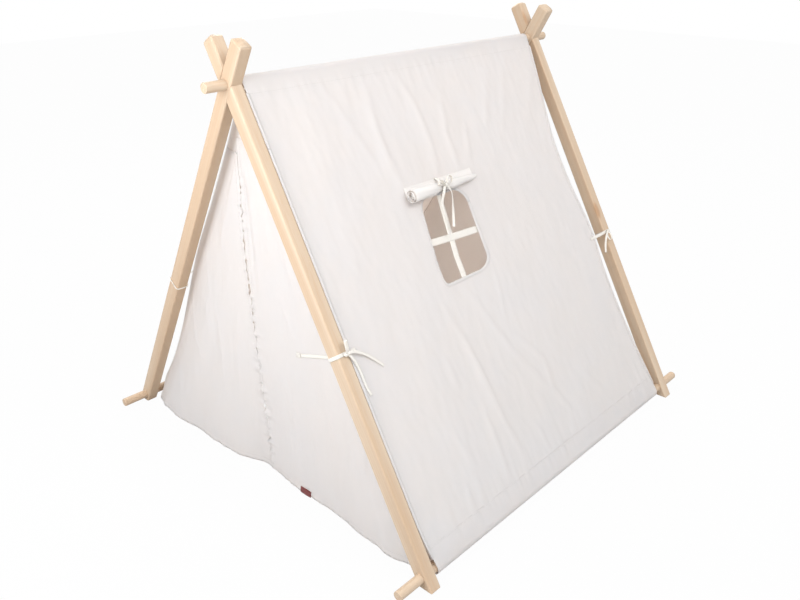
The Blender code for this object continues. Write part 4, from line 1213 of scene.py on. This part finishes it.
# by corner: the knot's place beside the pole's middle and its size, then for each end the side it leaves on,
# its width, and its line as (off, inwards along the ridge, up)
BOWS = {
    (1, -1): (-0.004, KNOT_SIZE, {
        "loop": ("beside", 0.0060, [(0, 0, -0.001), (0.003, 0.003, 0.012), (0.007, 0.002, 0.026),
                                    (0.011, -0.004, 0.026), (0.010, -0.006, 0.013), (0.004, -0.003, 0.001)]),
        "tail_long": ("beside", TAIL_WIDTH, [(0, 0, -0.0008), (0.001, 0.008, -0.016), (-0.004, 0.016, -0.044),
                                             (-0.005, 0.017, -0.074), (-0.005, 0.021, -0.100)]),
        "tail_short": ("over", TAIL_WIDTH, [(0, 0, 0), (0.001, 0.010, 0), (-0.002, 0.028, -0.006),
                                            (-0.006, 0.052, -0.022), (-0.0085, 0.072, -0.042),
                                            (-0.009, 0.084, -0.056)])}),
    (1, 1): (-0.006, KNOT_SIZE, {
        "loop": ("beside", 0.0056, [(0, 0, -0.001), (0.002, 0.007, -0.010), (0.004, 0.006, -0.022),
                                    (0.007, -0.001, -0.021), (0.006, -0.004, -0.009), (0.003, -0.003, 0.0)]),
        "tail": ("over", 0.0056, [(0, 0, 0), (0.002, 0.012, -0.002), (0.001, 0.024, -0.012),
                                  (-0.004, 0.032, -0.030), (-0.009, 0.038, -0.052)])}),
    (-1, -1): (-0.002, 0.008, CORD_END),
    (-1, 1): (-0.002, 0.008, CORD_END),
}
for (side, end), (beside, size, pieces) in BOWS.items():
    word, up, down = CORNERS[side, end], slope_up(side), TIE_DOWN[side, end]
    high = BAND_OUT + 0.0003 + size * 0.35
    knot("tie_knotted_" + word, slope_point(side, end * (POLE_PLANE + beside), down, high), size, up, "frame",
         ("tie_knot_" + word,))
    for part, (leaves, width, steps) in pieces.items():
        over = leaves == "over"
        lift, leave = (size * 0.35, beside) if over else (0.0, beside - size * 0.36)
        line = smooth_line([slope_point(side, end * (POLE_PLANE + leave - b), down - c, high + lift + a)
                            for a, b, c in steps], 40)
        name, cad = "tie_end_%s_%s" % (part, word), ("tie_%s_%s" % (part, word),)
        if leaves == "cord":
            finish_piece(name, tube(line, 0.0013), TAPE, "frame", cad)
            continue
        piece = ribbon(name, line, lambda t: up + ALONG * 0.5 * math.sin(4 * t) if over else ALONG, width,
                       "frame", cad)
        if "tail" in part:
            tail_cord(piece, line, width)

# %% [markdown]
# ## The door's ribbon and the hem's tab
# The right flap has a ribbon of its own, sewn on with a crossed square of stitches; it ties the open flap to
# the pole. The tab is a small folded piece of woven band at the hem, plain red.

# %% Ribbon and tab
RIBBON_PLACE, RIBBON_HEIGHT, RIBBON_RISE = 0.132, 0.379, 0.044
PATCH_WIDE, PATCH_TALL = 0.016, 0.0125
TAB_PLACE, TAB_WIDE, TAB_TALL = 0.140, 0.034, 0.017


def in_front_of_flap(side, x, height, ahead):
    """A point a little in front of a front cloth."""
    return flap_place(side, x, height) - Vector((0, ahead, 0))


ribbon_end = hinge_x(RIBBON_HEIGHT + RIBBON_RISE) - 0.005
ribbon_line = [in_front_of_flap(1, RIBBON_PLACE + (ribbon_end - RIBBON_PLACE) * i / 20,
                                RIBBON_HEIGHT + RIBBON_RISE * (i / 20) ** 0.9, 0.0014) for i in range(21)]
door_ribbon = ribbon("door_tape", ribbon_line, lambda t: Vector((0, 0, 1)), TAPE_WIDTH, "door_right",
                     ("door_ribbon_right",), 0.0)
tail_cord(door_ribbon, ribbon_line, TAPE_WIDTH)


def patch_point(u, v):
    """A point on the ribbon's folded end, a small square on top of the ribbon."""
    return in_front_of_flap(1, RIBBON_PLACE + PATCH_WIDE * (u - 0.5),
                            RIBBON_HEIGHT - 0.005 + PATCH_TALL * v + 0.003 * u, 0.0026)


def tab_place(u, v):
    """A point on the tab, whose lower edge stands off the hem a little."""
    x = TAB_PLACE + TAB_WIDE * (u - 0.5) + 0.002 * (v - 0.5)
    return in_front_of_flap(1, x, HEM_HEIGHT + 0.001 + TAB_TALL * v - 0.002 * u,
                            0.0018 + 0.0012 * math.sin(3.1 * u) * (1 - v))


patch_bm = cloth_grid(6, 5, patch_point, lambda u, v: (u * PATCH_WIDE, v * PATCH_TALL))
patch = finish_piece("door_tape_end", patch_bm, TAPE, "door_right", ("door_ribbon_right",), TAPE_THICK)
tab_bm = cloth_grid(14, 8, tab_place, lambda u, v: (u * TAB_WIDE, v * TAB_TALL))
tab = finish_piece("hem_tab_plain", tab_bm, RED_TAB, "door_right", ("hem_tab",), 0.0008)

# %% [markdown]
# ## Stitches
# Rows of stitches hold the hems, seams and bindings. Seen close, each stitch is a short thread that dips
# into the cloth at both ends, so one short thread, thickest in its middle, is repeated along a row. Curves with
# a bevel make thousands of them at once. A row rides with the cloth it is sewn into.

# %% Stitch rows
STITCH_OFF, STITCH_LONG = 0.0006, 0.0034


def stitch_rows(name, rows, body=None, side=0, pitch=0.0046, radius=0.00034):
    """Short threads along rows of points. Each is a curve of three points, thickest in its middle."""
    threads = bpy.data.curves.new(name, "CURVE")
    threads.dimensions, threads.bevel_depth, threads.bevel_resolution = "3D", radius, 0
    threads.use_fill_caps = True
    for row in rows:
        reach = 0.0
        for a, b in zip(row, row[1:]):
            step, way = (b - a).length, (b - a).normalized()
            while reach < step:
                middle = a.lerp(b, reach / step)
                thread = threads.splines.new("POLY")
                thread.points.add(2)
                for point, (place, thick) in zip(thread.points, ((-0.5, 0.35), (0.0, 1.0), (0.5, 0.35))):
                    point.co = (*(middle + way * STITCH_LONG * place), 1)
                    point.radius = thick
                reach += pitch
            reach -= step
    guide = in_scene(name + "_guide", threads)
    bpy.context.view_layer.update()
    mesh = bpy.data.meshes.new_from_object(guide.evaluated_get(bpy.context.evaluated_depsgraph_get()))
    bpy.data.objects.remove(guide, do_unlink=True)
    bm = bmesh.new()
    bm.from_mesh(mesh)
    bpy.data.meshes.remove(mesh)
    piece = finish_piece(name, bm, THREAD, body)
    if side:
        across_hinge(piece, side)
    print(name, len(piece.data.polygons), "faces")


def row(count, point):
    """A row of points, one for each share of the way from 0 to 1."""
    return [point(i / count) for i in range(count + 1)]


def slope_row(side, down):
    """A row across a slope, following its wrinkles."""
    front, back = (cover_edge(down, side, end) - 0.008 for end in (-1, 1))

    def point(t):
        along = -front + (front + back) * t
        return slope_point(side, along, down, SLOPE_OFF + STITCH_OFF + slope_relief(side, along, down))

    return row(240, point)


def corner_row(side, end):
    """A row up the felled seam at a corner."""
    return row(120, lambda t: corner_fold(side, end, 0.45, 0.075 + 0.86 * t) + slope_out(side) * STITCH_OFF)


def blind_seam(t):
    return slope_point(1, BLIND_MIDDLE + (BLIND_LENGTH - 0.02) * (t - 0.5), BLIND_SEAM + 0.003,
                       SLOPE_OUT + BLIND_OFF_SLOPE + 0.0005)


def flap_hem(side, t, height=0.024):
    outer, free = side * outer_x(height), meeting_x(height)
    return in_front_of_flap(side, outer - side * 0.02 + (free - outer + side * 0.03) * t, height, STITCH_OFF)


def flap_edge(side, t, inset=0.009):
    height = HEM_HEIGHT + 0.006 + (DOOR_TOP[side] - HEM_HEIGHT - 0.010) * t
    return in_front_of_flap(side, meeting_x(height) + side * inset, height, STITCH_OFF)


rear_hem = row(160, lambda t: rear_place(0.03 + 0.94 * t, 0.014) + ALONG * STITCH_OFF)
stitch_rows("stitches_of_cover", [slope_row(s, d) for s in (1, -1) for d in (STITCH_DOWN, TUNNEL_DOWN)]
            + [corner_row(s, e) for s in (1, -1) for e in (1, -1)] + [rear_hem], "frame")
stitch_rows("stitches_of_window", [row(160, lambda t: on_cloth(*rim_point(t, 0.0050), 0.0015))], "frame")
stitch_rows("stitches_of_blind", [row(60, blind_seam)], "window_blind")
for word, side in (("right", 1), ("left", -1)):
    stitch_rows("stitches_of_door_" + word,
                [row(120, lambda t: flap_hem(side, t)), row(160, lambda t: flap_edge(side, t))], None, side)

CROSS = ((0.08, 0.08), (0.92, 0.92), (0.92, 0.08), (0.08, 0.92), (0.08, 0.08))
stitch_rows("stitches_of_ribbon",
            [row(8, lambda t: patch_point(a + (c - a) * t, b + (d - b) * t) - ALONG * STITCH_OFF)
             for (a, b), (c, d) in zip(CROSS, CROSS[1:])], "door_right", pitch=0.0042, radius=0.0005)

# %% [markdown]
# ## Floor and light
# The floor and backdrop are plain white. The camera sees them as white, with a trace of the tent's shadow,
# because a Light Path node swaps in a white emission for camera rays; the light that falls on the tent comes
# from soft lamps in front, on the right and behind, and from an even grey sky.

# %% Floor
def floor_finish():
    """White to the camera, and a plain grey for the light that it sends back."""
    made, tree, shader = new_finish("studio_floor", 0.9, Base_Color=(0.54, 0.54, 0.54, 1),
                                    Specular_IOR_Level=0.1)
    path = node(tree, "LightPath")
    white = node(tree, "Emission", None, Color=(1, 1, 1, 1), Strength=1.0)
    seen = sums(tree, "MULTIPLY", path.outputs["Is Camera Ray"], 0.97)
    two_shaders(tree, seen, shader, white, tree.nodes["Material Output"])
    return made


FLOOR_HALF = 9.0
floor_bm = bmesh.new()
bmesh.ops.create_grid(floor_bm, x_segments=2, y_segments=2, size=FLOOR_HALF)
floor = finish_piece("studio_floor", floor_bm, floor_finish())
floor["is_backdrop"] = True

world = bpy.data.worlds.new("studio")
bpy.context.scene.world = world
world.use_nodes = True
sky = world.node_tree
sky.nodes.clear()
path = node(sky, "LightPath")
seen = sums(sky, "MAXIMUM", sums(sky, "MAXIMUM", path.outputs["Is Camera Ray"], path.outputs["Is Glossy Ray"]),
            path.outputs["Is Transmission Ray"])
fill = node(sky, "Background", None, Color=(0.965, 0.98, 1.0, 1), Strength=0.82)
white = node(sky, "Background", None, Color=(1, 1, 1, 1), Strength=1.0)
two_shaders(sky, seen, fill, white, node(sky, "OutputWorld"))


# %% Lamps
def soft_lamp(name, place, aim, size, power, colour=(0.98, 0.985, 1.0)):
    """A round lamp turned to its aim; its size is in metres and its power in watts."""
    lamp = bpy.data.lights.new(name, "AREA")
    lamp.shape, lamp.size, lamp.energy, lamp.color = "DISK", size, power, colour
    thing = in_scene(name, lamp)
    thing.location = place
    thing.rotation_euler = (Vector(aim) - Vector(place)).to_track_quat("-Z", "Y").to_euler()


soft_lamp("key", (0.35, -1.95, 1.4), (0, -0.3, 0.6), 1.7, 10)
soft_lamp("front", (0.12, -1.4, 1.0), (0, -0.5, 0.75), 0.7, 7.4)
soft_lamp("side", (2.05, -0.2, 2.5), (0, 0, 0.6), 1.6, 37.5)
soft_lamp("behind", (-2.0, 1.7, 2.4), (0, 0, 0.6), 1.8, 56, (1.0, 0.975, 0.955))
bpy.context.scene.view_settings.view_transform = "Standard"

# %% [markdown]
# ## Closing the book
# The object's box is measured once the tent is dressed.

low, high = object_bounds()
